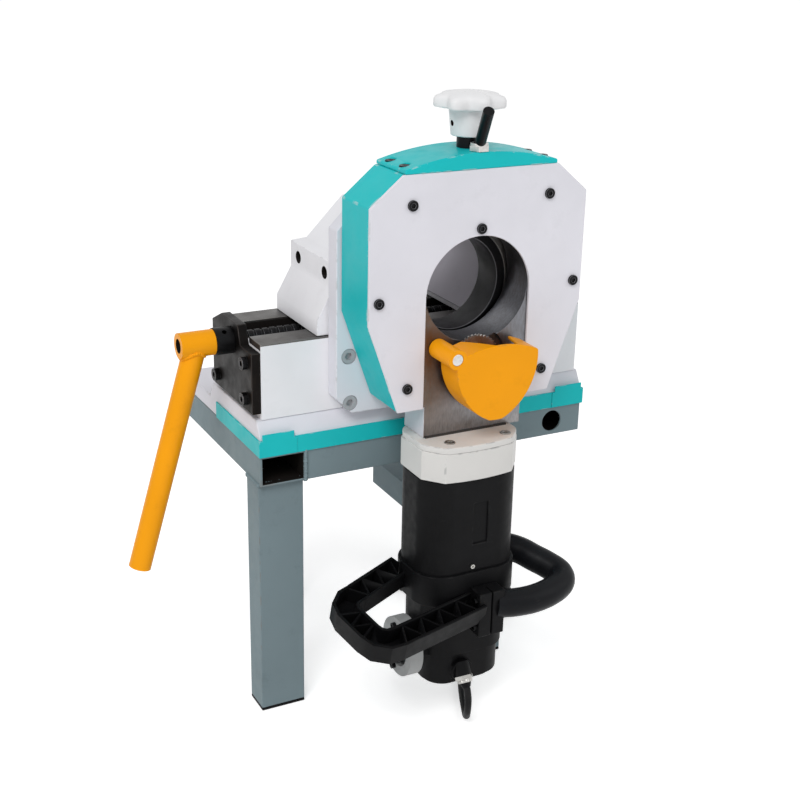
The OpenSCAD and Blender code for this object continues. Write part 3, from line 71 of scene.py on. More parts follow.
scene = bpy.context.scene
BODY = {n: body for body, members in frame["record"]["behaviour"]["bodies"].items() for n in members}
MM = 0.001

# Camera, where the photograph was taken from

CAMERA_PLACE = Vector((-0.7936, -1.3965, 0.4414))
CAMERA_RIGHT = Vector((0.8890, -0.4574, 0.0197))
CAMERA_DOWN = Vector((-0.1444, -0.3211, -0.9359))
CAMERA_LENS = 60.55
CAMERA_SENSOR = 36.0


def make_camera():
    """The camera of the photograph, from its place and the directions of its picture's sides."""
    right = CAMERA_RIGHT.normalized()
    back = right.cross(-CAMERA_DOWN).normalized()
    up = back.cross(right)
    turn = Matrix((right, up, back)).transposed()
    data = bpy.data.cameras.new("photo_camera")
    data.lens = CAMERA_LENS
    data.sensor_width = CAMERA_SENSOR
    camera = bpy.data.objects.new("photo_camera", data)
    camera.matrix_world = Matrix.Translation(CAMERA_PLACE) @ turn.to_4x4()
    scene.collection.objects.link(camera)
    scene.camera = camera


make_camera()

# Node helpers for the finishes


def start_finish(name):
    """A new material with one principled shader; returns the material, its tree and the shader."""
    material = bpy.data.materials.new(name)
    material.use_nodes = True
    tree = material.node_tree
    return material, tree, tree.nodes["Principled BSDF"]


def noise(tree, scale, detail=4.0, stretch=(1, 1, 1), roughness=0.55):
    """Noise over the piece's own place, stretched along the axes."""
    place = tree.nodes.new("ShaderNodeTexCoord")
    mapping = tree.nodes.new("ShaderNodeMapping")
    mapping.inputs["Scale"].default_value = stretch
    texture = tree.nodes.new("ShaderNodeTexNoise")
    texture.inputs["Scale"].default_value = scale
    texture.inputs["Detail"].default_value = detail
    texture.inputs["Roughness"].default_value = roughness
    tree.links.new(place.outputs["Object"], mapping.inputs["Vector"])
    tree.links.new(mapping.outputs["Vector"], texture.inputs["Vector"])
    return texture.outputs["Fac"]


def remap(tree, value, low, high, to_low=0.0, to_high=1.0):
    """A value moved from one range to another and held at its ends."""
    node = tree.nodes.new("ShaderNodeMapRange")
    tree.links.new(value, node.inputs["Value"])
    node.inputs["From Min"].default_value = low
    node.inputs["From Max"].default_value = high
    node.inputs["To Min"].default_value = to_low
    node.inputs["To Max"].default_value = to_high
    return node.outputs["Result"]


def times(tree, a, b):
    """The product of two values; b may be a number."""
    node = tree.nodes.new("ShaderNodeMath")
    node.operation = "MULTIPLY"
    tree.links.new(a, node.inputs[0])
    if isinstance(b, (int, float)):
        node.inputs[1].default_value = b
    else:
        tree.links.new(b, node.inputs[1])
    return node.outputs["Value"]


def mix_colour(tree, share, first, second):
    """A colour between two; each is a socket or three numbers."""
    node = tree.nodes.new("ShaderNodeMix")
    node.data_type = "RGBA"
    tree.links.new(share, node.inputs["Factor"])
    for socket, colour in ((node.inputs[6], first), (node.inputs[7], second)):
        if isinstance(colour, (tuple, list)):
            socket.default_value = (*colour, 1.0)
        else:
            tree.links.new(colour, socket)
    return node.outputs[2]


def add_bump(tree, shader, height, distance, strength):
    """Relief on the shader's normal."""
    node = tree.nodes.new("ShaderNodeBump")
    node.inputs["Strength"].default_value = strength
    node.inputs["Distance"].default_value = distance
    tree.links.new(height, node.inputs["Height"])
    tree.links.new(node.outputs["Normal"], shader.inputs["Normal"])


def face_mark(tree, name):
    """The value of a mark that a shape keeps on its faces, or nought where there is none."""
    mark = tree.nodes.new("ShaderNodeAttribute")
    mark.attribute_name = name
    return mark.outputs["Fac"]


def worn_edges(tree):
    """The share of wear on rounded edges, broken up by noise."""
    patches = remap(tree, noise(tree, 60.0, 6.0), 0.52, 0.62)
    return times(tree, face_mark(tree, "worn_edge"), patches)


# Near-black for the insides of hollows: bare steel inside the stand's tubes, painted shade in the holes and
# the vise's channel
BARE_AND_SHADED_HOLLOW = (0.012, 0.010, 0.009)


def bare_and_shaded_inside(tree, body):
    """The colour, near-black inside hollows: unpainted steel in tubes, painted shade in holes and the
    channel.
    """
    return mix_colour(tree, face_mark(tree, "bare_and_shaded_inside"), body, BARE_AND_SHADED_HOLLOW)


def shade(colour, factor):
    """The colour made darker or lighter by a factor."""
    return tuple(c * factor for c in colour)


def place_along(tree, axis, low, high):
    """A value that goes from 0 to 1 along one axis of the piece's own place."""
    place = tree.nodes.new("ShaderNodeTexCoord")
    parts = tree.nodes.new("ShaderNodeSeparateXYZ")
    tree.links.new(place.outputs["Object"], parts.inputs["Vector"])
    return remap(tree, parts.outputs[axis], low, high)


def enamel(name, colour, gloss, under, grime=0.25, peel=0.05):
    """Sprayed paint: soft colour drift, a little grime, orange peel and bare edges."""
    material, tree, shader = start_finish(name)
    shader.inputs["Specular IOR Level"].default_value = 0.12
    drift = remap(tree, noise(tree, 9.0, 3.0), 0.3, 0.7)
    body = mix_colour(tree, drift, shade(colour, 0.95), shade(colour, 1.03))
    stains = remap(tree, noise(tree, 34.0, 8.0, roughness=0.7), 0.56, 0.78, 0.0, grime)
    body = mix_colour(tree, stains, body, shade(colour, 0.62))
    body = mix_colour(tree, times(tree, worn_edges(tree), 0.55), body, under)
    tree.links.new(bare_and_shaded_inside(tree, body), shader.inputs["Base Color"])
    rough = remap(tree, noise(tree, 70.0, 5.0), 0.3, 0.7, gloss - 0.05, gloss + 0.09)
    tree.links.new(rough, shader.inputs["Roughness"])
    add_bump(tree, shader, noise(tree, 420.0, 2.0), 0.0004, peel)
    return material


def machined(name, colour, rough, lines=(1, 1, 30), stain=(0.20, 0.15, 0.10), stain_share=0.25,
             bright_edge=1.6):
    """Bare metal with the lines of its cutting tool, a little staining and bright edges."""
    material, tree, shader = start_finish(name)
    shader.inputs["Metallic"].default_value = 1.0
    cuts = noise(tree, 260.0, 3.0, lines)
    body = mix_colour(tree, remap(tree, cuts, 0.3, 0.7), shade(colour, 0.82), shade(colour, 1.12))
    stains = remap(tree, noise(tree, 26.0, 7.0, roughness=0.65), 0.52, 0.75, 0.0, stain_share)
    body = mix_colour(tree, stains, body, stain)
    body = mix_colour(tree, face_mark(tree, "worn_edge"), body, shade(colour, bright_edge))
    tree.links.new(body, shader.inputs["Base Color"])
    blotches = remap(tree, noise(tree, 40.0, 5.0), 0.3, 0.7, rough - 0.08, rough + 0.12)
    tree.links.new(blotches, shader.inputs["Roughness"])
    add_bump(tree, shader, cuts, 0.00012, 0.35)
    return material


# Where the slide's neck starts to be painted, and where it is wholly painted, in metres
PAINT_START = -0.118
PAINT_FULL = -0.120


def painted_sides(tree):
    """The share of paint on the slide: the two sides of its neck, under the head."""
    place = tree.nodes.new("ShaderNodeTexCoord")
    facing = tree.nodes.new("ShaderNodeSeparateXYZ")
    tree.links.new(place.outputs["Normal"], facing.inputs["Vector"])
    size = tree.nodes.new("ShaderNodeMath")
    size.operation = "ABSOLUTE"
    tree.links.new(facing.outputs["X"], size.inputs[0])
    sideways = remap(tree, size.outputs["Value"], 0.7, 0.8)
    return times(tree, sideways, place_along(tree, "Z", PAINT_START, PAINT_FULL))


def ground_face(name, paint):
    """Ground steel, browner on the left, with a painted highlight at the foot and painted sides on its
    neck.
    """
    brown_left, grey_right = (0.13, 0.085, 0.060), (0.19, 0.195, 0.215)
    lit_foot = (0.30, 0.285, 0.28)
    dark_grain, oil_brown = (0.12, 0.115, 0.11), (0.085, 0.06, 0.045)
    material, tree, shader = start_finish(name)
    body = mix_colour(tree, place_along(tree, "X", -0.062, -0.005), brown_left, grey_right)
    # Lighter towards the foot: painted highlight
    body = mix_colour(tree, place_along(tree, "Z", -0.125, -0.185), body, lit_foot)
    grain = noise(tree, 420.0, 4.0, (1, 1, 0.25), 0.6)
    body = mix_colour(tree, remap(tree, grain, 0.35, 0.68, 0.0, 0.6), body, dark_grain)
    oil = remap(tree, noise(tree, 18.0, 7.0, roughness=0.7), 0.50, 0.74, 0.0, 0.6)
    body = mix_colour(tree, oil, body, oil_brown)
    painted = painted_sides(tree)
    body = mix_colour(tree, painted, body, paint)
    tree.links.new(body, shader.inputs["Base Color"])
    tree.links.new(remap(tree, painted, 0.0, 1.0, 1.0, 0.0), shader.inputs["Metallic"])
    blotches = remap(tree, noise(tree, 50.0, 6.0), 0.3, 0.7, 0.30, 0.50)
    tree.links.new(blotches, shader.inputs["Roughness"])
    add_bump(tree, shader, grain, 0.00012, 0.35)
    return material


def moulding(name, colour, rough, grain=1400.0, depth=0.14, scuff=(0.05, 0.05, 0.05)):
    """Moulded plastic or rubber with a fine grain and pale scuffs."""
    material, tree, shader = start_finish(name)
    shader.inputs["Specular IOR Level"].default_value = 0.09
    drift = remap(tree, noise(tree, 14.0, 4.0), 0.3, 0.7)
    body = mix_colour(tree, drift, shade(colour, 0.8), shade(colour, 1.25))
    scuffs = remap(tree, noise(tree, 55.0, 8.0, (1, 1, 3.0), 0.7), 0.62, 0.8, 0.0, 0.35)
    body = mix_colour(tree, scuffs, body, scuff)
    body = mix_colour(tree, times(tree, worn_edges(tree), 0.3), body, scuff)
    tree.links.new(body, shader.inputs["Base Color"])
    blotches = remap(tree, noise(tree, 90.0, 5.0), 0.3, 0.7, rough - 0.07, rough + 0.1)
    tree.links.new(blotches, shader.inputs["Roughness"])
    add_bump(tree, shader, noise(tree, grain, 2.0), 0.0003, depth)
    return material


def lead_jacket(name):
    """Rubber lead with fine rings round it, which follow its length."""
    material, tree, shader = start_finish(name)
    shader.inputs["Specular IOR Level"].default_value = 0.12
    place = tree.nodes.new("ShaderNodeUVMap")
    place.uv_map = "along"
    rings = tree.nodes.new("ShaderNodeTexWave")
    rings.bands_direction = "Y"
    rings.inputs["Scale"].default_value = 160.0
    rings.inputs["Distortion"].default_value = 0.4
    tree.links.new(place.outputs["UV"], rings.inputs["Vector"])
    dust = remap(tree, noise(tree, 60.0, 6.0), 0.5, 0.8, 0.0, 0.5)
    body = mix_colour(tree, dust, (0.007, 0.007, 0.0075), (0.03, 0.03, 0.03))
    tree.links.new(body, shader.inputs["Base Color"])
    blotches = remap(tree, noise(tree, 80.0, 4.0), 0.3, 0.7, 0.42, 0.6)
    tree.links.new(blotches, shader.inputs["Roughness"])
    add_bump(tree, shader, rings.outputs["Fac"], 0.00008, 0.3)
    return material


WHITE = (0.75, 0.745, 0.80)
BARE_IRON = (0.20, 0.19, 0.18)
PRIMER = (0.36, 0.36, 0.36)
ENAMELS = {
    "white_enamel": dict(colour=WHITE, gloss=0.42, under=(0.50, 0.50, 0.51), grime=0.16),
    # A lighter copy of the white enamel for the vise body and the jaws: painted light
    "lit_white_enamel": dict(colour=(0.86, 0.855, 0.885), gloss=0.42, under=(0.55, 0.55, 0.56), grime=0.16),
    "grip_enamel": dict(colour=(0.50, 0.48, 0.53), gloss=0.45, under=BARE_IRON, grime=0.4),
    "bolt_enamel": dict(colour=(0.40, 0.40, 0.42), gloss=0.45, under=BARE_IRON, grime=0.4),
    "teal_enamel": dict(colour=(0.012, 0.52, 0.54), gloss=0.36, under=(0.50, 0.64, 0.64)),
    "yellow_enamel": dict(colour=(0.94, 0.365, 0.004), gloss=0.34, under=(0.50, 0.24, 0.05)),
    "stand_enamel": dict(colour=(0.20, 0.262, 0.285), gloss=0.50, under=BARE_IRON, grime=0.45, peel=0.09),
    "cream_enamel": dict(colour=(0.70, 0.69, 0.67), gloss=0.38, under=PRIMER, grime=0.15),
    "knob_enamel": dict(colour=(0.80, 0.80, 0.81), gloss=0.30, under=PRIMER, grime=0.10),
}
BLACK_STAIN = (0.03, 0.025, 0.02)
METALS = {
    "turned_steel": dict(colour=(0.60, 0.59, 0.57), rough=0.30, lines=(1, 30, 1), stain_share=0.12,
                         bright_edge=1.2),
    "rail_steel": dict(colour=(0.12, 0.115, 0.11), rough=0.40, lines=(1, 25, 25), stain=(0.04, 0.03, 0.025),
                       stain_share=0.5),
    "oxide_steel": dict(colour=(0.016, 0.016, 0.017), rough=0.40, lines=(1, 1, 8), stain=BLACK_STAIN,
                        stain_share=0.3, bright_edge=8.0),
    "rod_oxide": dict(colour=(0.014, 0.014, 0.015), rough=0.38, lines=(1, 1, 8), stain=BLACK_STAIN,
                      stain_share=0.2, bright_edge=26.0),
    "plate_steel": dict(colour=(0.012, 0.0105, 0.010), rough=0.50, lines=(1, 8, 8),
                        stain=(0.030, 0.022, 0.017), stain_share=0.5, bright_edge=3.0),
    "nickel": dict(colour=(0.46, 0.45, 0.43), rough=0.28, lines=(1, 1, 12), stain_share=0.2,
                   bright_edge=1.4),
    "bronze": dict(colour=(0.60, 0.38, 0.16), rough=0.35, lines=(1, 20, 1)),
    "winding": dict(colour=(0.45, 0.22, 0.10), rough=0.45, lines=(1, 1, 40)),
}
MOULDINGS = {
    "black_moulding": dict(colour=(0.0045, 0.0045, 0.005), rough=0.44, scuff=(0.03, 0.03, 0.03)),
    "grip_rubber": dict(colour=(0.0075, 0.008, 0.0095), rough=0.36, grain=900.0, depth=0.1),
    "grey_moulding": dict(colour=(0.40, 0.41, 0.41), rough=0.45, scuff=(0.6, 0.6, 0.6)),
    "strap_cloth": dict(colour=(0.02, 0.02, 0.022), rough=0.75, grain=2200.0, depth=0.5),
    "joint_filler": dict(colour=(0.045, 0.043, 0.042), rough=0.6, grain=700.0, depth=0.3),
}
FINISH = {
    **{name: enamel(name, **settings) for name, settings in ENAMELS.items()},
    "slide_steel": ground_face("slide_steel", shade(WHITE, 0.9)),
    **{name: machined(name, **settings) for name, settings in METALS.items()},
    **{name: moulding(name, **settings) for name, settings in MOULDINGS.items()},
    "lead_rubber": lead_jacket("lead_rubber"),
}

# Shapes

# Angles in degrees past which shading is broken at an edge: on flat shapes, turned shapes and tubes
FLAT_BREAK = 32.0
TURNED_BREAK = 40.0
TUBE_BREAK = 50.0


def add_object(name, mesh, finish, body):
    """A finished piece at the origin that rides on a body."""
    piece = bpy.data.objects.new(name, mesh)
    scene.collection.objects.link(piece)
    mesh.materials.clear()
    mesh.materials.append(FINISH[finish])
    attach(piece, body)
    return piece


def mesh_from(shape, name, angle=FLAT_BREAK):
    """The mesh of a shape, with its shading broken at sharp edges."""
    mesh = bpy.data.meshes.new(name)
    shape.to_mesh(mesh)
    shape.free()
    mesh.set_sharp_from_angle(angle=math.radians(angle))
    return mesh


def smooth_all(shape):
    """Marks all faces of a shape for smooth shading."""
    for face in shape.faces:
        face.smooth = True


def carve(mesh, cutters):
    """The mesh with closed shapes cut out of it."""
    block = bpy.data.objects.new("carved", mesh)
    scene.collection.objects.link(block)
    tools = []
    for cutter in cutters:
        tool = bpy.data.objects.new("cutter", cutter)
        scene.collection.objects.link(tool)
        tools.append(tool)
        cut = block.modifiers.new("cut", "BOOLEAN")
        cut.operation = "DIFFERENCE"
        cut.solver = "EXACT"
        cut.object = tool
    ready = block.evaluated_get(bpy.context.evaluated_depsgraph_get())
    result = bpy.data.meshes.new_from_object(ready)
    for thing in [block] + tools:
        bpy.data.objects.remove(thing)
    return result


def box_mesh(low, high):
    """A closed box between two corners, in millimetres."""
    shape = bmesh.new()
    bmesh.ops.create_cube(shape, size=1.0)
    for corner in shape.verts:
        place = [(a + b) / 2 + c * (b - a) for a, b, c in zip(low, high, corner.co)]
        corner.co = Vector(place) * MM
    return mesh_from(shape, "box")


def lathe(name, profile, place, axis, sides=48, lobes=0, first_lobe=0.0):
    """A closed turned shape; rows of the profile are height, radius and how far lobes draw it in."""
    axis = Vector(axis).normalized()
    side = axis.orthogonal().normalized() if abs(axis.z) < 0.9 else Vector((1, 0, 0))
    other = axis.cross(side)
    shape = bmesh.new()
    rings = []
    for height, radius, draw_in in profile:
        ring = []
        for j in range(sides):
            a = 2 * math.pi * j / sides
            wave = 0.5 - 0.5 * math.cos(lobes * (a - first_lobe)) if lobes else 0.0
            r = radius * (1 - draw_in * wave)
            out = math.cos(a) * side + math.sin(a) * other
            ring.append(shape.verts.new((Vector(place) + height * axis + r * out) * MM))
        rings.append(ring)
    for low, high in zip(rings, rings[1:]):
        for j in range(sides):
            k = (j + 1) % sides
            shape.faces.new((low[j], low[k], high[k], high[j]))
    shape.faces.new(list(reversed(rings[0])))
    shape.faces.new(rings[-1])
    smooth_all(shape)
    return mesh_from(shape, name, TURNED_BREAK)


# Angles between faces past which an edge or a corner is rounded, and the steps of each rounding
SHARP_EDGE = math.radians(35)
SHARP_CORNER = math.radians(20)
EDGE_STEPS = 2
CORNER_STEPS = 6


def bevel(shape, edges, width, steps):
    """Rounds edges of a shape in steps, and returns the new faces."""
    made = bmesh.ops.bevel(shape, geom=edges, offset=width, offset_type="OFFSET", segments=steps,
                           profile=0.5, affect="EDGES", clamp_overlap=False)
    return made["faces"]


def round_edges(shape, width, shortest=0.0):
    """Rounds the long sharp outer edges of a closed shape and marks the new faces as worn."""
    worn = shape.faces.layers.float.new("worn_edge")
    sharp = [e for e in shape.edges
             if e.is_convex
             and e.calc_face_angle(0.0) > SHARP_EDGE
             and e.calc_length() > max(1.5 * width, shortest)]
    for face in bevel(shape, sharp, width, EDGE_STEPS):
        face[worn] = 1.0


def round_corners(shape, width):
    """Rounds the upright outer corners of a plate."""
    upright = [e for e in shape.edges
               if e.is_convex
               and e.calc_face_angle(0.0) > SHARP_CORNER
               and abs((e.verts[1].co - e.verts[0].co).normalized().z) > 0.99]
    bevel(shape, upright, width, CORNER_STEPS)


LARGE_FACE_WEIGHT = 80


def even_shading(mesh):
    """The mesh with its shading ruled by its large faces, which then look flat beside round edges."""
    thing = bpy.data.objects.new("shaded", mesh)
    scene.collection.objects.link(thing)
    even = thing.modifiers.new("even", "WEIGHTED_NORMAL")
    even.keep_sharp = True
    even.weight = LARGE_FACE_WEIGHT
    ready = thing.evaluated_get(bpy.context.evaluated_depsgraph_get())
    result = bpy.data.meshes.new_from_object(ready)
    bpy.data.objects.remove(thing)
    return result


# Rounding of the upright corners of a plate, in millimetres
CORNERS = {"gearbox_cover": 8.0}

# The shortest edge that is rounded on a piece with fine ribs, in millimetres
SHORTEST_EDGE = {"handle_left": 45.0}

# Insides of tubes, holes and the vise's channel: the low and high corners of each, in millimetres
JAW_HOLES_Y = (50.5, 130.5)
JAW_HOLE_R = 8.5
# Drawn near-black: bare steel inside the stand's tubes, painted shade in the holes and the vise's channel
HOLLOWS = {
    "stand_top_frame": [
        ((-242.5, 13.5, -239.5), (-187.5, 312.5, -204.5)),
        ((-187.5, 15.5, -239.5), (221.5, 70.5, -204.5)),
        ((164.5, 73.5, -239.5), (219.5, 312.5, -204.5)),
        ((-187.5, 255.5, -239.5), (164.5, 310.5, -204.5)),
    ],
    "jaw_left": [((-142.8, y - JAW_HOLE_R, 1.5), (-124, y + JAW_HOLE_R, 18.5)) for y in JAW_HOLES_Y],
    "jaw_right": [((124, y - JAW_HOLE_R, 1.5), (142.8, y + JAW_HOLE_R, 18.5)) for y in JAW_HOLES_Y],
    "vise_body": [((-237.5, 60.5, -105.0), (215.5, 122.5, -64.0))],
    "crank_handle": [((-316.5, 82.2, -82.8), (-274, 100.8, -64.2))],
}


def in_hollow(node, place):
    """Whether a place on a piece lies in one of its hollows."""
    return any(all(low[k] < place[k] < high[k] for k in range(3)) for low, high in HOLLOWS.get(node, ()))


# Corners of a solid nearer than this are one corner, and faces that turn less than this are one face
MERGE_DISTANCE = 0.00001
FLAT_ANGLE = math.radians(0.4)


def soften(node, finish, width, cutters=()):
    """A copy of a solid with its edges rounded and its hollows near-black, in place of the sharp one."""
    mesh = nodes[node].data.copy()
    shape = bmesh.new()
    shape.from_mesh(mesh)
    bmesh.ops.remove_doubles(shape, verts=shape.verts, dist=MERGE_DISTANCE)
    if cutters:
        shape.to_mesh(mesh)
        mesh = carve(mesh, cutters)
        shape.clear()
        shape.from_mesh(mesh)
    bmesh.ops.dissolve_limit(shape, angle_limit=FLAT_ANGLE, use_dissolve_boundaries=False,
                             verts=shape.verts, edges=shape.edges, delimit=set())
    if node in CORNERS:
        round_corners(shape, CORNERS[node] * MM)
    round_edges(shape, width * MM, SHORTEST_EDGE.get(node, 0.0) * MM)
    smooth_all(shape)
    # Faces inside hollows are marked for near-black: bare steel in tubes, painted shade in holes and the
    # channel
    bare = shape.faces.layers.float.new("bare_and_shaded_inside")
    for face in shape.faces:
        face[bare] = float(in_hollow(node, face.calc_center_median() / MM))
    mesh = even_shading(mesh_from(shape, node + "_look"))
    piece = add_object(node + "_look", mesh, finish, BODY[node])
    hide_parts(node)


# The lead: a short length by the motor, then the floor, the coil and the plug

LEAD_R = 4.5 * MM
LEAD_SIDES = 14
FLOOR_LEAD = -561.1
LEAD_END_Y = 88.0
LEAD_ROUTE = [
    (-24, -126.472, -503.383), (-24, -129.34, -507.479), (-24, -131, -512.5), (-24, -132.5, -518),
    (-24, -133, -524.5), (-23.7, -132.3, -532), (-23, -130.5, -539), (-21, -126.5, -546),
    (-18.5, -121.5, -552.5), (-15.5, -115, -557), (-12, -107.5, -560), (-8.5, -100, FLOOR_LEAD),
    (-3.5, -88.5, FLOOR_LEAD), (4, -72, FLOOR_LEAD), (12.5, -54.5, FLOOR_LEAD), (22, -35.5, FLOOR_LEAD),
    (31.5, -15.5, FLOOR_LEAD), (39, 4, FLOOR_LEAD), (43, 21, FLOOR_LEAD), (45, 36, FLOOR_LEAD),
    (46, 47.5, FLOOR_LEAD), (47.5, 58, FLOOR_LEAD), (51.5, 68, FLOOR_LEAD), (58, 76, FLOOR_LEAD),
    (66.5, 82.5, FLOOR_LEAD), (76, 86.5, FLOOR_LEAD), (86.5, LEAD_END_Y, FLOOR_LEAD),
    (106.5, LEAD_END_Y, FLOOR_LEAD),
]

# The point of the route where the two pieces meet, and the steps of the curve between points
MEETING_POINT = 10
PATH_STEPS = 8

# The coil goes in and out by these turns, in a flat spiral
COIL_TURNS = 3.75
COIL_STEP = 9.7
COIL_MID_R = 54.5
COIL_RISE = 9.6
COIL_RINGS = 36
COIL_OUT_R = COIL_MID_R + COIL_STEP * COIL_TURNS / 2
COIL_CENTRE = (140.0, LEAD_END_Y + COIL_OUT_R)
COIL_TAIL = 11.5
TAIL_STEP = 2.5
CLIMB_TURNS = 0.5


def coil_point(t):
    """A point of the coil after t turns: in on the floor, up where it reverses, and out over itself."""
    r = COIL_OUT_R - COIL_STEP * (COIL_TURNS - abs(t - COIL_TURNS))
    a = math.radians(-90 + 360 * t)
    climb = max(0.0, min(1.0, (t - COIL_TURNS + CLIMB_TURNS / 2) / CLIMB_TURNS))
    lift = COIL_RISE * (0.5 - 0.5 * math.cos(math.pi * climb))
    return (COIL_CENTRE[0] + r * math.cos(a), COIL_CENTRE[1] + r * math.sin(a), FLOOR_LEAD + lift)


def smooth_path(points, steps):
    """A smooth curve through points, with this many steps between each pair."""
    p = [Vector(q) for q in points]
    out = []
    for i in range(len(p) - 1):
        a, b, c, d = p[max(i - 1, 0)], p[i], p[i + 1], p[min(i + 2, len(p) - 1)]
        for k in range(steps):
            t = k / steps
            out.append(b + t * (c - a) / 2 + t * t * (a - 2.5 * b + 2 * c - d / 2)
                       + t * t * t * (3 * b - a - 3 * c + d) / 2)
    out.append(p[-1])
    return out


def sweep_tube(name, path, radius, sides):
    """A closed round tube along a path, with a UV map that runs along it in metres."""
    shape = bmesh.new()
    uv = shape.loops.layers.uv.new("along")
    first_way = (path[1] - path[0]).normalized()
    side = Vector((0, 0, 1)) if abs(first_way.x) > 0.9 else Vector((1, 0, 0))
    turns = [2 * math.pi * j / sides for j in range(sides)]
    rings, run = [], [0.0]
    for i, here in enumerate(path):
        ahead = (path[min(i + 1, len(path) - 1)] - path[max(i - 1, 0)]).normalized()
        side = (side - ahead * side.dot(ahead)).normalized()
        other = ahead.cross(side)
        rings.append([shape.verts.new(here + radius * (math.cos(a) * side + math.sin(a) * other))
                      for a in turns])
        if i:
            run.append(run[-1] + (here - path[i - 1]).length)
    for i in range(len(rings) - 1):
        for j in range(sides):
            k = (j + 1) % sides
            face = shape.faces.new((rings[i][j], rings[i][k], rings[i + 1][k], rings[i + 1][j]))
            for loop, (u, v) in zip(face.loops, ((j, i), (j + 1, i), (j + 1, i + 1), (j, i + 1))):
                loop[uv].uv = (u / sides, run[v])
    shape.faces.new(list(reversed(rings[0])))
    shape.faces.new(rings[-1])
    smooth_all(shape)
    return mesh_from(shape, name, TUBE_BREAK)


def make_lead():
    """The lead in two pieces that meet under the motor."""
    coil = [Vector(coil_point(i / COIL_RINGS)) for i in range(int(2 * COIL_TURNS * COIL_RINGS) + 1)]
    tail = [coil[-1] - Vector((TAIL_STEP, 0, 0)), coil[-1] - Vector((COIL_TAIL, 0, 0))]
    route = smooth_path(LEAD_ROUTE + [tuple(coil[0] - Vector((COIL_TAIL, 0, 0)))], PATH_STEPS)
    meet = MEETING_POINT * PATH_STEPS
    upper = [q * MM for q in route[:meet + 1]]
    lower = [q * MM for q in route[meet:] + coil + tail]
    near = add_lead("lead_near_motor", upper, ["lead_upper"])
    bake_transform(near)
    far = add_lead("lead_on_floor", lower, ["lead_lower", "lead_coil"])
    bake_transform(far)


def add_lead(name, path, replaced):
    """One piece of the lead along its path."""
    piece = bpy.data.objects.new(name, sweep_tube(name, path, LEAD_R, LEAD_SIDES))
    scene.collection.objects.link(piece)
    piece.data.materials.append(FINISH["lead_rubber"])
    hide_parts(*replaced)
    return piece


TIE_ANGLES = (20.0, 200.0)
TIE_NAMES = [f"coil_tie_{i + 1}" for i in range(len(TIE_ANGLES))]
TIE_HALF_WIDTH = 6.0
TIE_THICK = 0.3
TIE_GAP = 0.05
TIE_CORNER = 4.0
TIE_CORNER_STEPS = 4


def tie_section():
    """The section of a tie: each point's distance and height at its corner's middle, and the way out."""
    inside = COIL_OUT_R - COIL_STEP * COIL_TURNS - LEAD_R / MM - TIE_GAP + TIE_CORNER
    outside = COIL_OUT_R + LEAD_R / MM + TIE_GAP - TIE_CORNER
    low = FLOOR_LEAD - LEAD_R / MM - TIE_GAP + TIE_CORNER
    high = FLOOR_LEAD + COIL_RISE + LEAD_R / MM + TIE_GAP - TIE_CORNER
    corners = ((outside, high, 0), (inside, high, 90), (inside, low, 180), (outside, low, 270))
    section = []
    for reach, height, start in corners:
        for k in range(TIE_CORNER_STEPS + 1):
            a = math.radians(start + 90 / TIE_CORNER_STEPS * k)
            section.append((reach, height, math.cos(a), math.sin(a)))
    return section


def make_ties():
    """Thin straps round the coil's turns."""
    for name, angle in zip(TIE_NAMES, TIE_ANGLES):
        away = Vector((math.cos(math.radians(angle)), math.sin(math.radians(angle)), 0))
        along = Vector((-away.y, away.x, 0))
        shape = bmesh.new()
        rows = []
        for reach, height, way_out, way_up in tie_section():
            row = []
            for side, thick in ((-1, 0), (1, 0), (1, TIE_THICK), (-1, TIE_THICK)):
                r = TIE_CORNER + thick
                place = Vector((*COIL_CENTRE, 0)) + (reach + way_out * r) * away
                place += side * TIE_HALF_WIDTH * along
                place.z += height + way_up * r
                row.append(shape.verts.new(place * MM))
            rows.append(row)
        for i, row in enumerate(rows):
            after = rows[(i + 1) % len(rows)]
            for j in range(4):
                k = (j + 1) % 4
                shape.faces.new((row[j], after[j], after[k], row[k]))
        bmesh.ops.recalc_face_normals(shape, faces=shape.faces)
        smooth_all(shape)
        add_object(name, mesh_from(shape, name), "strap_cloth", "base")


def make_plug():
    """A round plug with a tapered, ribbed boot and two pins, on the coil's end."""
    ribs, rib_step, pin_out = 7, 3.4, 9.5
    back = (-1, 0, 0)
    end = Vector(coil_point(2 * COIL_TURNS)) - Vector((COIL_TAIL, 0, 0))
    profile = [(-1.0, 4.7, 0), (0.0, 5.1, 0)]
    for i in range(ribs):
        rib = 5.2 + 0.35 * i
        profile += [(1.0 + rib_step * i, rib, 0), (2.6 + rib_step * i, rib, 0),
                    (3.0 + rib_step * i, rib - 0.5, 0), (4.0 + rib_step * i, rib - 0.4, 0)]
    profile += [(26.0, 8.0, 0), (29.0, 12.6, 0), (31.0, 13.9, 0), (52.0, 13.9, 0), (53.0, 13.4, 0),
                (60.5, 13.4, 0), (62.0, 12.4, 0)]
    pin = [(61, 2.4, 0), (76, 2.4, 0), (77.6, 1.4, 0)]
    shape = bmesh.new()
    shape.from_mesh(lathe("plug_look", profile, end, back))
    for side in (-1, 1):
        shape.from_mesh(lathe("pin", pin, end + Vector((0, pin_out * side, 0)), back, 20))
    mesh = mesh_from(shape, "plug_look", TURNED_BREAK)
    piece = add_object("plug_look", mesh, "black_moulding", "base")
    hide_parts("plug")


make_plug()
make_ties()
make_lead()

# Finish of each solid, and the rounding of its edges in millimetres where it shows

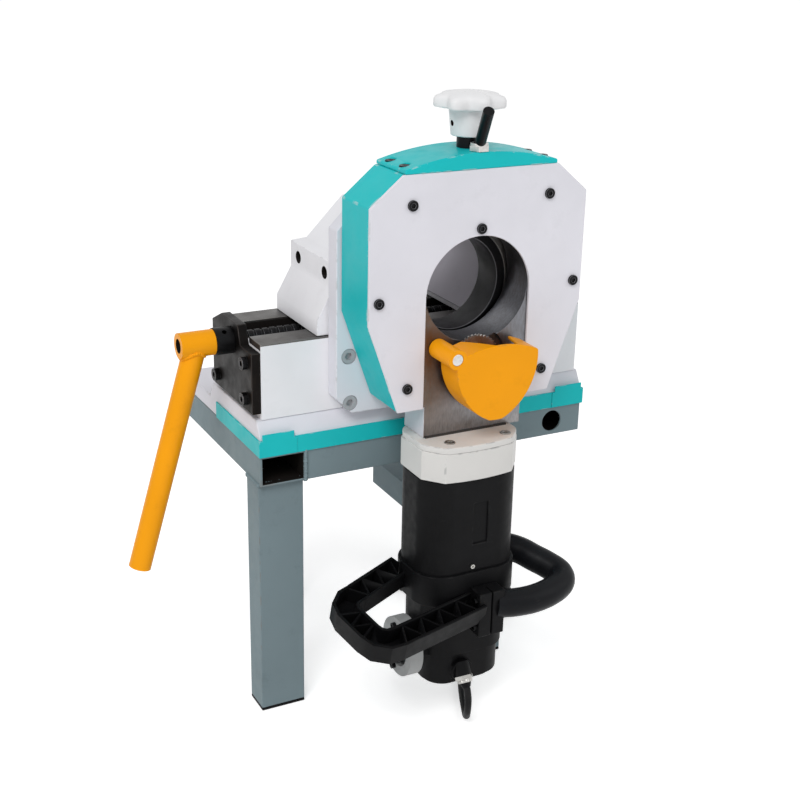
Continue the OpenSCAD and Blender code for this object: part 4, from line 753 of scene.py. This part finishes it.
NODE_FINISH = {
    "stand_top_frame": ("stand_enamel", 1.2),
    "stand_legs": ("stand_enamel", 1.2),
    "stand_stretcher": ("stand_enamel", 1.2),
    "leg_caps": ("black_moulding", 0.8),
    "base_casting": ("white_enamel", 2.0),
    "base_trim": ("teal_enamel", 0.7),
    "base_bolts": ("oxide_steel", 0.6),
    "vise_body": ("lit_white_enamel", 0.2),
    "guide_rails": ("rail_steel", 0.7),
    "end_plate": ("plate_steel", 1.0),
    "end_plate_bolts": ("oxide_steel", 0.5),
    "flange": ("white_enamel", 1.6),
    "flange_bolts": ("bolt_enamel", 0.6),
    "liner": ("oxide_steel", 1.0),
    "hub_retainer": ("rail_steel", 0.8),
    "vise_screw": ("oxide_steel", 0.3),
    "screw_collar": ("oxide_steel", 1.0),
    "crank_handle": ("yellow_enamel", 1.4),
    "jaw_left": ("lit_white_enamel", 1.0),
    "jaw_right": ("lit_white_enamel", 1.0),
    "jaw_left_grips": ("grip_enamel", 0.6),
    "jaw_right_grips": ("grip_enamel", 0.6),
    "head_housing": ("teal_enamel", 2.0),
    "front_plate": ("white_enamel", 0.9),
    "front_plate_screws": ("oxide_steel", 0.4),
    "top_cap": ("teal_enamel", 1.5),
    "top_cap_screws": ("oxide_steel", 0.4),
    "head_bush": ("bronze", 0),
    "feed_collar": ("oxide_steel", 0.8),
    "feed_spindle": ("turned_steel", 0),
    "clamp_hub": ("turned_steel", 0.25),
    "clamp_rod": ("rod_oxide", 0.7),
    "slide": ("slide_steel", 0.9),
    "feed_nut": ("bronze", 0),
    "gearbox_cover": ("cream_enamel", 1.2),
    "gearbox_screws": ("nickel", 0.4),
    "gearbox_housing": ("cream_enamel", 1.4),
    "motor_end_cap": ("black_moulding", 1.0),
    "stator": ("winding", 0),
    "motor_bearings": ("turned_steel", 0),
    "spindle_bearings": ("turned_steel", 0),
    "handle_left": ("black_moulding", 0.8),
    "handle_bracket": ("black_moulding", 1.4),
    "switch_bezel": ("grey_moulding", 1.4),
    "switch_knob": ("black_moulding", 1.2),
    "blade": ("turned_steel", 0),
    "blade_screw": ("oxide_steel", 0.5),
    "blade_spindle": ("turned_steel", 0),
    "drive_shaft": ("turned_steel", 0),
    "rotor": ("winding", 0),
    "guard": ("yellow_enamel", 1.6),
    "guard_pin": ("turned_steel", 0.6),
}
for node_name, (finish_name, rounding) in NODE_FINISH.items():
    nodes[node_name].data.materials.clear()
    nodes[node_name].data.materials.append(FINISH[finish_name])
    if rounding:
        soften(node_name, finish_name, rounding)

# The motor casing has a shallow panel in its front, which lies behind its collar
COLLAR_OUT = 4.0
CASING_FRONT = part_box("motor_casing")[0].y / MM + COLLAR_OUT
PANEL = box_mesh((-16, CASING_FRONT - 1, -309), (4, CASING_FRONT + 2.5, -254))
soften("motor_casing", "black_moulding", 1.6, [PANEL])

# Star knob, round grip and gland in place of their plain solids, and the front rail's cap

KNOB_Y = -39.5
KNOB_REACH = 43.0
KNOB_STAR_HEIGHT = 18.0
KNOB_LOBES = 7
KNOB_SIDES = 98
KNOB_TURN = math.radians(8)
KNOB_BREAK = math.radians(35)
KNOB_HUB_R = 21.6
KNOB_HOLE_R = 3.4
KNOB_HOLE_HEIGHT = 14.7
KNOB_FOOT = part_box("feed_knob")[0].z / MM
KNOB_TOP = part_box("feed_knob")[1].z / MM
KNOB_HOLE = Vector((0, KNOB_Y, KNOB_FOOT + KNOB_HOLE_HEIGHT))


def make_knob():
    """The feed knob: a hub with a set screw hole, and a domed star with round lobes."""
    star = KNOB_TOP - KNOB_FOOT - KNOB_STAR_HEIGHT
    reach = KNOB_REACH
    profile = [
        (0.0, 20.4, 0), (0.9, 21.4, 0), (star - 3.0, 24.2, 0), (star - 1.6, 25.5, 0), (star - 0.6, 30.0, 0),
        (star, 37.0, 0.12), (star + 0.9, reach - 1.2, 0.21), (star + 2.6, reach, 0.22),
        (star + 9.0, reach, 0.22), (star + 11.6, reach - 0.8, 0.22), (star + 13.6, reach - 3.0, 0.20),
        (star + 15.4, reach - 8.0, 0.15), (star + 17.0, reach - 16.0, 0.06),
        (star + 18.2, reach - 27.0, 0.01), (star + 18.7, 6.0, 0),
    ]
    mesh = lathe("feed_knob_look", profile, (0, KNOB_Y, KNOB_FOOT), (0, 0, 1),
                 KNOB_SIDES, KNOB_LOBES, KNOB_TURN)
    hole = lathe("hole", [(15.0, KNOB_HOLE_R, 0), (30.0, KNOB_HOLE_R, 0)], KNOB_HOLE, (-1, 0, 0), 24)
    mesh = carve(mesh, [hole])
    # The set screw hole's wall is marked near-black: painted shade
    dark = mesh.attributes.new("bare_and_shaded_inside", "FLOAT", "FACE")
    for face in mesh.polygons:
        x, y, z = face.center / MM - KNOB_HOLE
        in_hole = x < 0 and math.hypot(y, z) < KNOB_HOLE_R + 0.2 and math.hypot(x, y) < KNOB_HUB_R
        dark.data[face.index].value = float(in_hole)
    mesh.polygons.foreach_set("use_smooth", [True] * len(mesh.polygons))
    mesh.set_sharp_from_angle(angle=KNOB_BREAK)
    piece = add_object("feed_knob_look", mesh, "knob_enamel", "feed_screw")
    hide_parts("feed_knob")


HANDLE_TILT = math.radians(16.5)
HANDLE_Y = -167
HANDLE_Z = -414
GRIP_HEIGHT = 13
GRIP_R = 18 * MM


def on_handle_slope(x, y, z):
    """A point of the handles' sloping plane, in millimetres."""
    flat, steep = math.cos(HANDLE_TILT), math.sin(HANDLE_TILT)
    return Vector((x, HANDLE_Y + y * flat - z * steep, HANDLE_Z + y * steep + z * flat))


def make_grip():
    """The round grip on the right, from the bracket round to the motor's side."""
    route = [(12, 42), (32, 36), (62, 34), (92, 39), (114, 50), (121, 66), (114, 84), (103, 102), (92, 120),
             (76, 133), (54, 137), (36, 136)]
    path = [q * MM for q in smooth_path([on_handle_slope(x, y, GRIP_HEIGHT) for x, y in route], 6)]
    mesh = sweep_tube("handle_right_look", path, GRIP_R, 28)
    piece = add_object("handle_right_look", mesh, "grip_rubber", "carriage")
    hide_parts("handle_right")


GLAND_FOOT = Vector((-24.0, -115.0, -487.0))
GLAND_AXIS = (0.0, -0.5736, -0.8192)


def make_gland():
    """The lead's gland: a black body with a tapered sleeve, and a six-sided nut with a ribbed ring."""
    body = [(-11.0, 10.6, 0), (5.0, 10.6, 0), (6.2, 10.0, 0)]
    sleeve = [(14.0, 8.0, 0), (16.0, 7.6, 0), (17.0, 7.2, 0), (21.0, 5.7, 0), (22.0, 5.0, 0)]
    nut = [(6.0, 11.2, 0), (6.7, 12.0, 0), (11.3, 12.0, 0), (12.0, 11.2, 0)]
    ring = [(11.8, 9.0, 0), (12.2, 9.5, 0.06), (15.2, 9.5, 0.06), (15.8, 8.6, 0)]
    shape = bmesh.new()
    for profile in (body, sleeve):
        shape.from_mesh(lathe("gland_body", profile, GLAND_FOOT, GLAND_AXIS))
    mesh = mesh_from(shape, "gland_body", TURNED_BREAK)
    piece = add_object("gland_body", mesh, "black_moulding", "carriage")
    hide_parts("cable_gland")
    shape = bmesh.new()
    shape.from_mesh(lathe("gland_nut", nut, GLAND_FOOT, GLAND_AXIS, 6))
    shape.from_mesh(lathe("gland_ring", ring, GLAND_FOOT, GLAND_AXIS, 96, 24))
    add_object("gland_nut", mesh_from(shape, "gland_nut"), "nickel", "carriage")


def make_rail_cap():
    """A moulded cap in the front rail's right end: a dished face with a thin skirt inside the tube."""
    block = box_mesh((213.0, 15.6, -239.4), (221.6, 70.4, -204.6))
    skirt_room = box_mesh((212.0, 17.8, -237.2), (219.0, 68.2, -206.8))
    dish = box_mesh((220.6, 21.0, -234.0), (223.0, 65.0, -210.0))
    rounding_width = 0.5 * MM
    shape = bmesh.new()
    shape.from_mesh(carve(block, [skirt_room, dish]))
    round_edges(shape, rounding_width)
    smooth_all(shape)
    mesh = even_shading(mesh_from(shape, "rail_cap"))
    add_object("rail_cap", mesh, "black_moulding", "base")


make_knob()
make_grip()
make_gland()
make_rail_cap()

# Trees for what repeats: screw heads, and beads of weld


def start_tree(name, sizes):
    """A new tree with named inputs for its sizes and finish; returns it with its input and output nodes."""
    tree = bpy.data.node_groups.new(name, "GeometryNodeTree")
    tree.interface.new_socket("Geometry", in_out="INPUT", socket_type="NodeSocketGeometry")
    for label, kind, value in sizes:
        tree.interface.new_socket(label, in_out="INPUT", socket_type=kind).default_value = value
    tree.interface.new_socket("Finish", in_out="INPUT", socket_type="NodeSocketMaterial")
    tree.interface.new_socket("Geometry", in_out="OUTPUT", socket_type="NodeSocketGeometry")
    return tree, tree.nodes.new("NodeGroupInput"), tree.nodes.new("NodeGroupOutput")


def end_tree(tree, given, result, geometry):
    """Closes a tree: instances made real, with their finish."""
    real = tree.nodes.new("GeometryNodeRealizeInstances")
    finish = tree.nodes.new("GeometryNodeSetMaterial")
    tree.links.new(geometry, real.inputs["Geometry"])
    tree.links.new(real.outputs["Geometry"], finish.inputs["Geometry"])
    tree.links.new(given.outputs["Finish"], finish.inputs["Material"])
    tree.links.new(finish.outputs["Geometry"], result.inputs["Geometry"])


def head_tree():
    """Socket heads on points: a cylinder with a six-sided hole, turned one way."""
    tree, given, result = start_tree("screw_heads", [
        ("Head Radius", "NodeSocketFloat", 0.005), ("Head Height", "NodeSocketFloat", 0.004),
        ("Head Sides", "NodeSocketInt", 32), ("Socket Radius", "NodeSocketFloat", 0.002),
        ("Turn", "NodeSocketVector", (0.0, 0.0, 0.0))])
    head = tree.nodes.new("GeometryNodeMeshCylinder")
    tree.links.new(given.outputs["Head Sides"], head.inputs["Vertices"])
    tree.links.new(given.outputs["Head Radius"], head.inputs["Radius"])
    tree.links.new(given.outputs["Head Height"], head.inputs["Depth"])
    hole = tree.nodes.new("GeometryNodeMeshCylinder")
    hole.inputs["Vertices"].default_value = 6
    tree.links.new(given.outputs["Socket Radius"], hole.inputs["Radius"])
    tree.links.new(given.outputs["Head Height"], hole.inputs["Depth"])
    lift = tree.nodes.new("ShaderNodeCombineXYZ")
    tree.links.new(times(tree, given.outputs["Head Height"], 0.5), lift.inputs["Z"])
    raised = tree.nodes.new("GeometryNodeTransform")
    tree.links.new(hole.outputs["Mesh"], raised.inputs["Geometry"])
    tree.links.new(lift.outputs["Vector"], raised.inputs["Translation"])
    cut = tree.nodes.new("GeometryNodeMeshBoolean")
    cut.operation = "DIFFERENCE"
    tree.links.new(head.outputs["Mesh"], cut.inputs["Mesh 1"])
    tree.links.new(raised.outputs["Geometry"], cut.inputs["Mesh 2"])
    put = tree.nodes.new("GeometryNodeInstanceOnPoints")
    tree.links.new(given.outputs["Geometry"], put.inputs["Points"])
    tree.links.new(cut.outputs["Mesh"], put.inputs["Instance"])
    tree.links.new(given.outputs["Turn"], put.inputs["Rotation"])
    end_tree(tree, given, result, put.outputs["Instances"])
    return tree


def weld_tree():
    """Overlapping beads of weld along lines, each a little different."""
    tree, given, result = start_tree("weld_beads", [
        ("Bead Radius", "NodeSocketFloat", 0.0022), ("Bead Pitch", "NodeSocketFloat", 0.0021),
        ("Seed", "NodeSocketInt", 7)])
    line = tree.nodes.new("GeometryNodeMeshToCurve")
    spaced = tree.nodes.new("GeometryNodeResampleCurve")
    spaced.mode = "LENGTH"
    tree.links.new(given.outputs["Geometry"], line.inputs["Mesh"])
    tree.links.new(line.outputs["Curve"], spaced.inputs["Curve"])
    tree.links.new(given.outputs["Bead Pitch"], spaced.inputs["Length"])
    bead = tree.nodes.new("GeometryNodeMeshUVSphere")
    bead.inputs["Segments"].default_value = 8
    bead.inputs["Rings"].default_value = 5
    tree.links.new(given.outputs["Bead Radius"], bead.inputs["Radius"])
    smooth = tree.nodes.new("GeometryNodeSetShadeSmooth")
    tree.links.new(bead.outputs["Mesh"], smooth.inputs["Geometry"])
    uneven = tree.nodes.new("FunctionNodeRandomValue")
    uneven.data_type = "FLOAT_VECTOR"
    uneven.inputs["Min"].default_value = (0.8, 0.8, 0.8)
    uneven.inputs["Max"].default_value = (1.15, 1.15, 1.15)
    tree.links.new(given.outputs["Seed"], uneven.inputs["Seed"])
    put = tree.nodes.new("GeometryNodeInstanceOnPoints")
    tree.links.new(spaced.outputs["Curve"], put.inputs["Points"])
    tree.links.new(smooth.outputs["Geometry"], put.inputs["Instance"])
    tree.links.new(uneven.outputs["Value"], put.inputs["Scale"])
    end_tree(tree, given, result, put.outputs["Instances"])
    return tree


def grow(name, tree, points, lines, values, finish, body, slot):
    """A piece made by a tree from points, or from lines between them, with the named values."""
    mesh = bpy.data.meshes.new(name)
    mesh.from_pydata([Vector(p) * MM for p in points], lines, [])
    source = bpy.data.objects.new(name + "_source", mesh)
    scene.collection.objects.link(source)
    modifier = source.modifiers.new("grow", "NODES")
    modifier.node_group = tree
    wanted = {**values, "Finish": FINISH[finish]}
    for item in tree.interface.items_tree:
        if item.in_out == "INPUT" and item.name in wanted:
            modifier[item.identifier] = wanted[item.name]
    ready = source.evaluated_get(bpy.context.evaluated_depsgraph_get())
    grown = bpy.data.meshes.new_from_object(ready)
    grown.name = name
    bpy.data.objects.remove(source)
    add_object(name, grown, finish, body)


HEADS = head_tree()
WELD = weld_tree()
QUARTER = math.pi / 2

# Turns of a head from upright, and how far its middle stands out of a face in millimetres
TO_LEFT = (0, -QUARTER, 0)
TO_FRONT = (QUARTER, 0, 0)
HEAD_OUT = 1.5


def add_heads(name, points, sizes, turn, finish, body, slot):
    """Screw heads on points; the sizes are the head's radius and height and its socket's radius."""
    radius, height, socket = sizes
    values = {
        "Head Radius": radius * MM,
        "Head Height": height * MM,
        "Socket Radius": socket * MM,
        "Turn": turn,
    }
    grow(name, HEADS, points, [], values, finish, body, slot)


def make_heads():
    """The small screws of the bezel, the bracket, the knob and the casing."""
    bezel_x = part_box("switch_bezel")[0].x / MM - HEAD_OUT
    bezel_points = [(bezel_x, -61, -432), (bezel_x, -61, -490)]
    add_heads("bezel_screws", bezel_points, (4.2, 7, 2.2), TO_LEFT,
              "oxide_steel", "carriage", "black_steel")
    bracket_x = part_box("handle_bracket")[0].x / MM - HEAD_OUT
    bracket_points = [(bracket_x, -134, -414), (bracket_x, -134, -378)]
    add_heads("bracket_bolts", bracket_points, (4.8, 6, 2.4), TO_LEFT,
              "oxide_steel", "carriage", "black_steel")
    knob_point = (-17.5, KNOB_Y, KNOB_FOOT + KNOB_HOLE_HEIGHT)
    add_heads("knob_set_screw", [knob_point], (3.3, 4, 1.7), TO_LEFT,
              "oxide_steel", "feed_screw", "black_steel")
    casing_point = (-16, CASING_FRONT - 0.6, -339)
    add_heads("casing_screw", [casing_point], (2.9, 3, 1.5), TO_FRONT,
              "nickel", "carriage", "bright_steel")


def leg_welds():
    """Lines of weld round the legs' tops, at the rails' joints and at the stretcher's ends."""
    points, lines = [], []

    def run(*corners):
        """Adds a line through corners."""
        first = len(points)
        points.extend(corners)
        lines.extend((first + i, first + i + 1) for i in range(len(corners) - 1))

    tube_wide, tube_thick = 60, 40
    rail_foot, rail_top = -242.0, -202.0
    low, high = -412, -372
    for x, y in ((-245, 21), (57, 21), (-145, 273), (117, 273)):
        far_x, far_y = x + tube_wide, y + tube_thick
        run((x, y, rail_foot), (far_x, y, rail_foot), (far_x, far_y, rail_foot), (x, far_y, rail_foot),
            (x, y, rail_foot))
    run((-185, 13, rail_top - 1), (-185, 13, rail_foot), (-185, 73, rail_foot))
    run((162, 73, rail_foot), (222, 73, rail_foot))
    run((57, 61, low), (117, 61, low), (117, 61, high), (57, 61, high), (57, 61, low))
    run((117, 273, low), (117, 273, high))
    return points, lines


def crank_weld():
    """The line where the crank's lever meets its hub."""
    steps, hub_r, lever_r, lean = 32, 16.0, 14.0, math.radians(16.4)
    lever_in, screw_y, screw_z = 22.0, 91.5, -73.5
    hub_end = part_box("crank_handle")[1].x / MM
    axis = Vector((-math.sin(lean), 0, -math.cos(lean)))
    across = Vector((math.cos(lean), 0, -math.sin(lean)))
    middle = Vector((hub_end - lever_in, screw_y, screw_z))
    points = []
    for k in range(steps + 1):
        a = 2 * math.pi * k / steps
        edge = lever_r * (math.cos(a) * across + math.sin(a) * Vector((0, 1, 0)))
        reach = (math.sqrt(max(0.0, hub_r ** 2 - edge.y ** 2)) + edge.z) / math.cos(lean)
        points.append(middle + edge + reach * axis)
    return points, [(k, k + 1) for k in range(steps)]


make_heads()
STAND_BEADS = {"Bead Radius": 3.0 * MM, "Bead Pitch": 3.4 * MM}
CRANK_BEADS = {"Bead Radius": 2.6 * MM, "Bead Pitch": 2.9 * MM, "Seed": 3}
grow("stand_welds", WELD, *leg_welds(), STAND_BEADS, "stand_enamel", "base", "stand_paint")
grow("crank_welds", WELD, *crank_weld(), CRANK_BEADS, "yellow_enamel", "vise_screw", "yellow_paint")


def make_foot_joint():
    """A run of dark filler where the steel neck meets the gearbox."""
    radius, seat = 1.7 * MM, 0.6
    left, right, step = -66, 54, 6
    slide_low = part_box("slide")[0]
    front, foot = slide_low.y / MM - seat, slide_low.z / MM + seat
    path = [Vector((x, front, foot)) * MM for x in range(left, right, step)]
    mesh = sweep_tube("neck_filler", path, radius, 12)
    add_object("neck_filler", mesh, "joint_filler", "carriage")


make_foot_joint()

# Floor, light and background

FLOOR_Z = cad_low.z - 0.0005
FLOOR_HALF = 30.0
FLOOR_GLOW = 0.54
ROOM_LIGHT = 0.50
LAMP_AIM = Vector((0, 0, -0.1))


def seen_directly(tree):
    """One where the camera, a reflection or clear glass sees the surface, and nought for other light."""
    path = tree.nodes.new("ShaderNodeLightPath")
    share = path.outputs["Is Camera Ray"]
    for ray in ("Is Glossy Ray", "Is Transmission Ray"):
        either = tree.nodes.new("ShaderNodeMath")
        either.operation = "MAXIMUM"
        tree.links.new(share, either.inputs[0])
        tree.links.new(path.outputs[ray], either.inputs[1])
        share = either.outputs["Value"]
    return share


def make_floor():
    """A wide white floor that keeps the object's shadow."""
    mesh = bpy.data.meshes.new("floor")
    sides = ((-1, -1), (1, -1), (1, 1), (-1, 1))
    corners = [(x * FLOOR_HALF, y * FLOOR_HALF, FLOOR_Z) for x, y in sides]
    mesh.from_pydata(corners, [], [(0, 1, 2, 3)])
    floor = bpy.data.objects.new("floor", mesh)
    scene.collection.objects.link(floor)
    material, tree, shader = start_finish("floor_paper")
    body = mix_colour(tree, noise(tree, 3.0), (0.95, 0.95, 0.95), (0.97, 0.97, 0.97))
    tree.links.new(body, shader.inputs["Base Color"])
    shader.inputs["Roughness"].default_value = 0.9
    shader.inputs["Specular IOR Level"].default_value = 0.0
    shader.inputs["Emission Color"].default_value = (1, 1, 1, 1)
    glow = remap(tree, seen_directly(tree), 0.0, 1.0, 0.0, FLOOR_GLOW)
    tree.links.new(glow, shader.inputs["Emission Strength"])
    mesh.materials.append(material)


def make_lamp(name, place, size, power):
    """A soft square lamp that points at the object's middle."""
    data = bpy.data.lights.new(name, "AREA")
    data.size = size
    data.energy = power
    lamp = bpy.data.objects.new(name, data)
    lamp.location = place
    lamp.rotation_mode = "QUATERNION"
    lamp.rotation_quaternion = (LAMP_AIM - Vector(place)).to_track_quat("-Z", "Y")
    scene.collection.objects.link(lamp)


def make_world():
    """Even pale light from all round, and a white background where the camera or a reflection sees it."""
    world = bpy.data.worlds.new("studio")
    scene.world = world
    world.use_nodes = True
    tree = world.node_tree
    background = tree.nodes["Background"]
    background.inputs["Color"].default_value = (1.0, 1.0, 1.0, 1.0)
    strength = remap(tree, seen_directly(tree), 0.0, 1.0, ROOM_LIGHT, 1.0)
    tree.links.new(strength, background.inputs["Strength"])


make_floor()
make_world()
make_lamp("key_lamp", place=(-1.75, -1.75, 2.3), size=1.4, power=55.0)
make_lamp("fill_lamp", place=(1.8, -1.4, 1.2), size=1.6, power=9.0)
scene.view_settings.view_transform = "Standard"
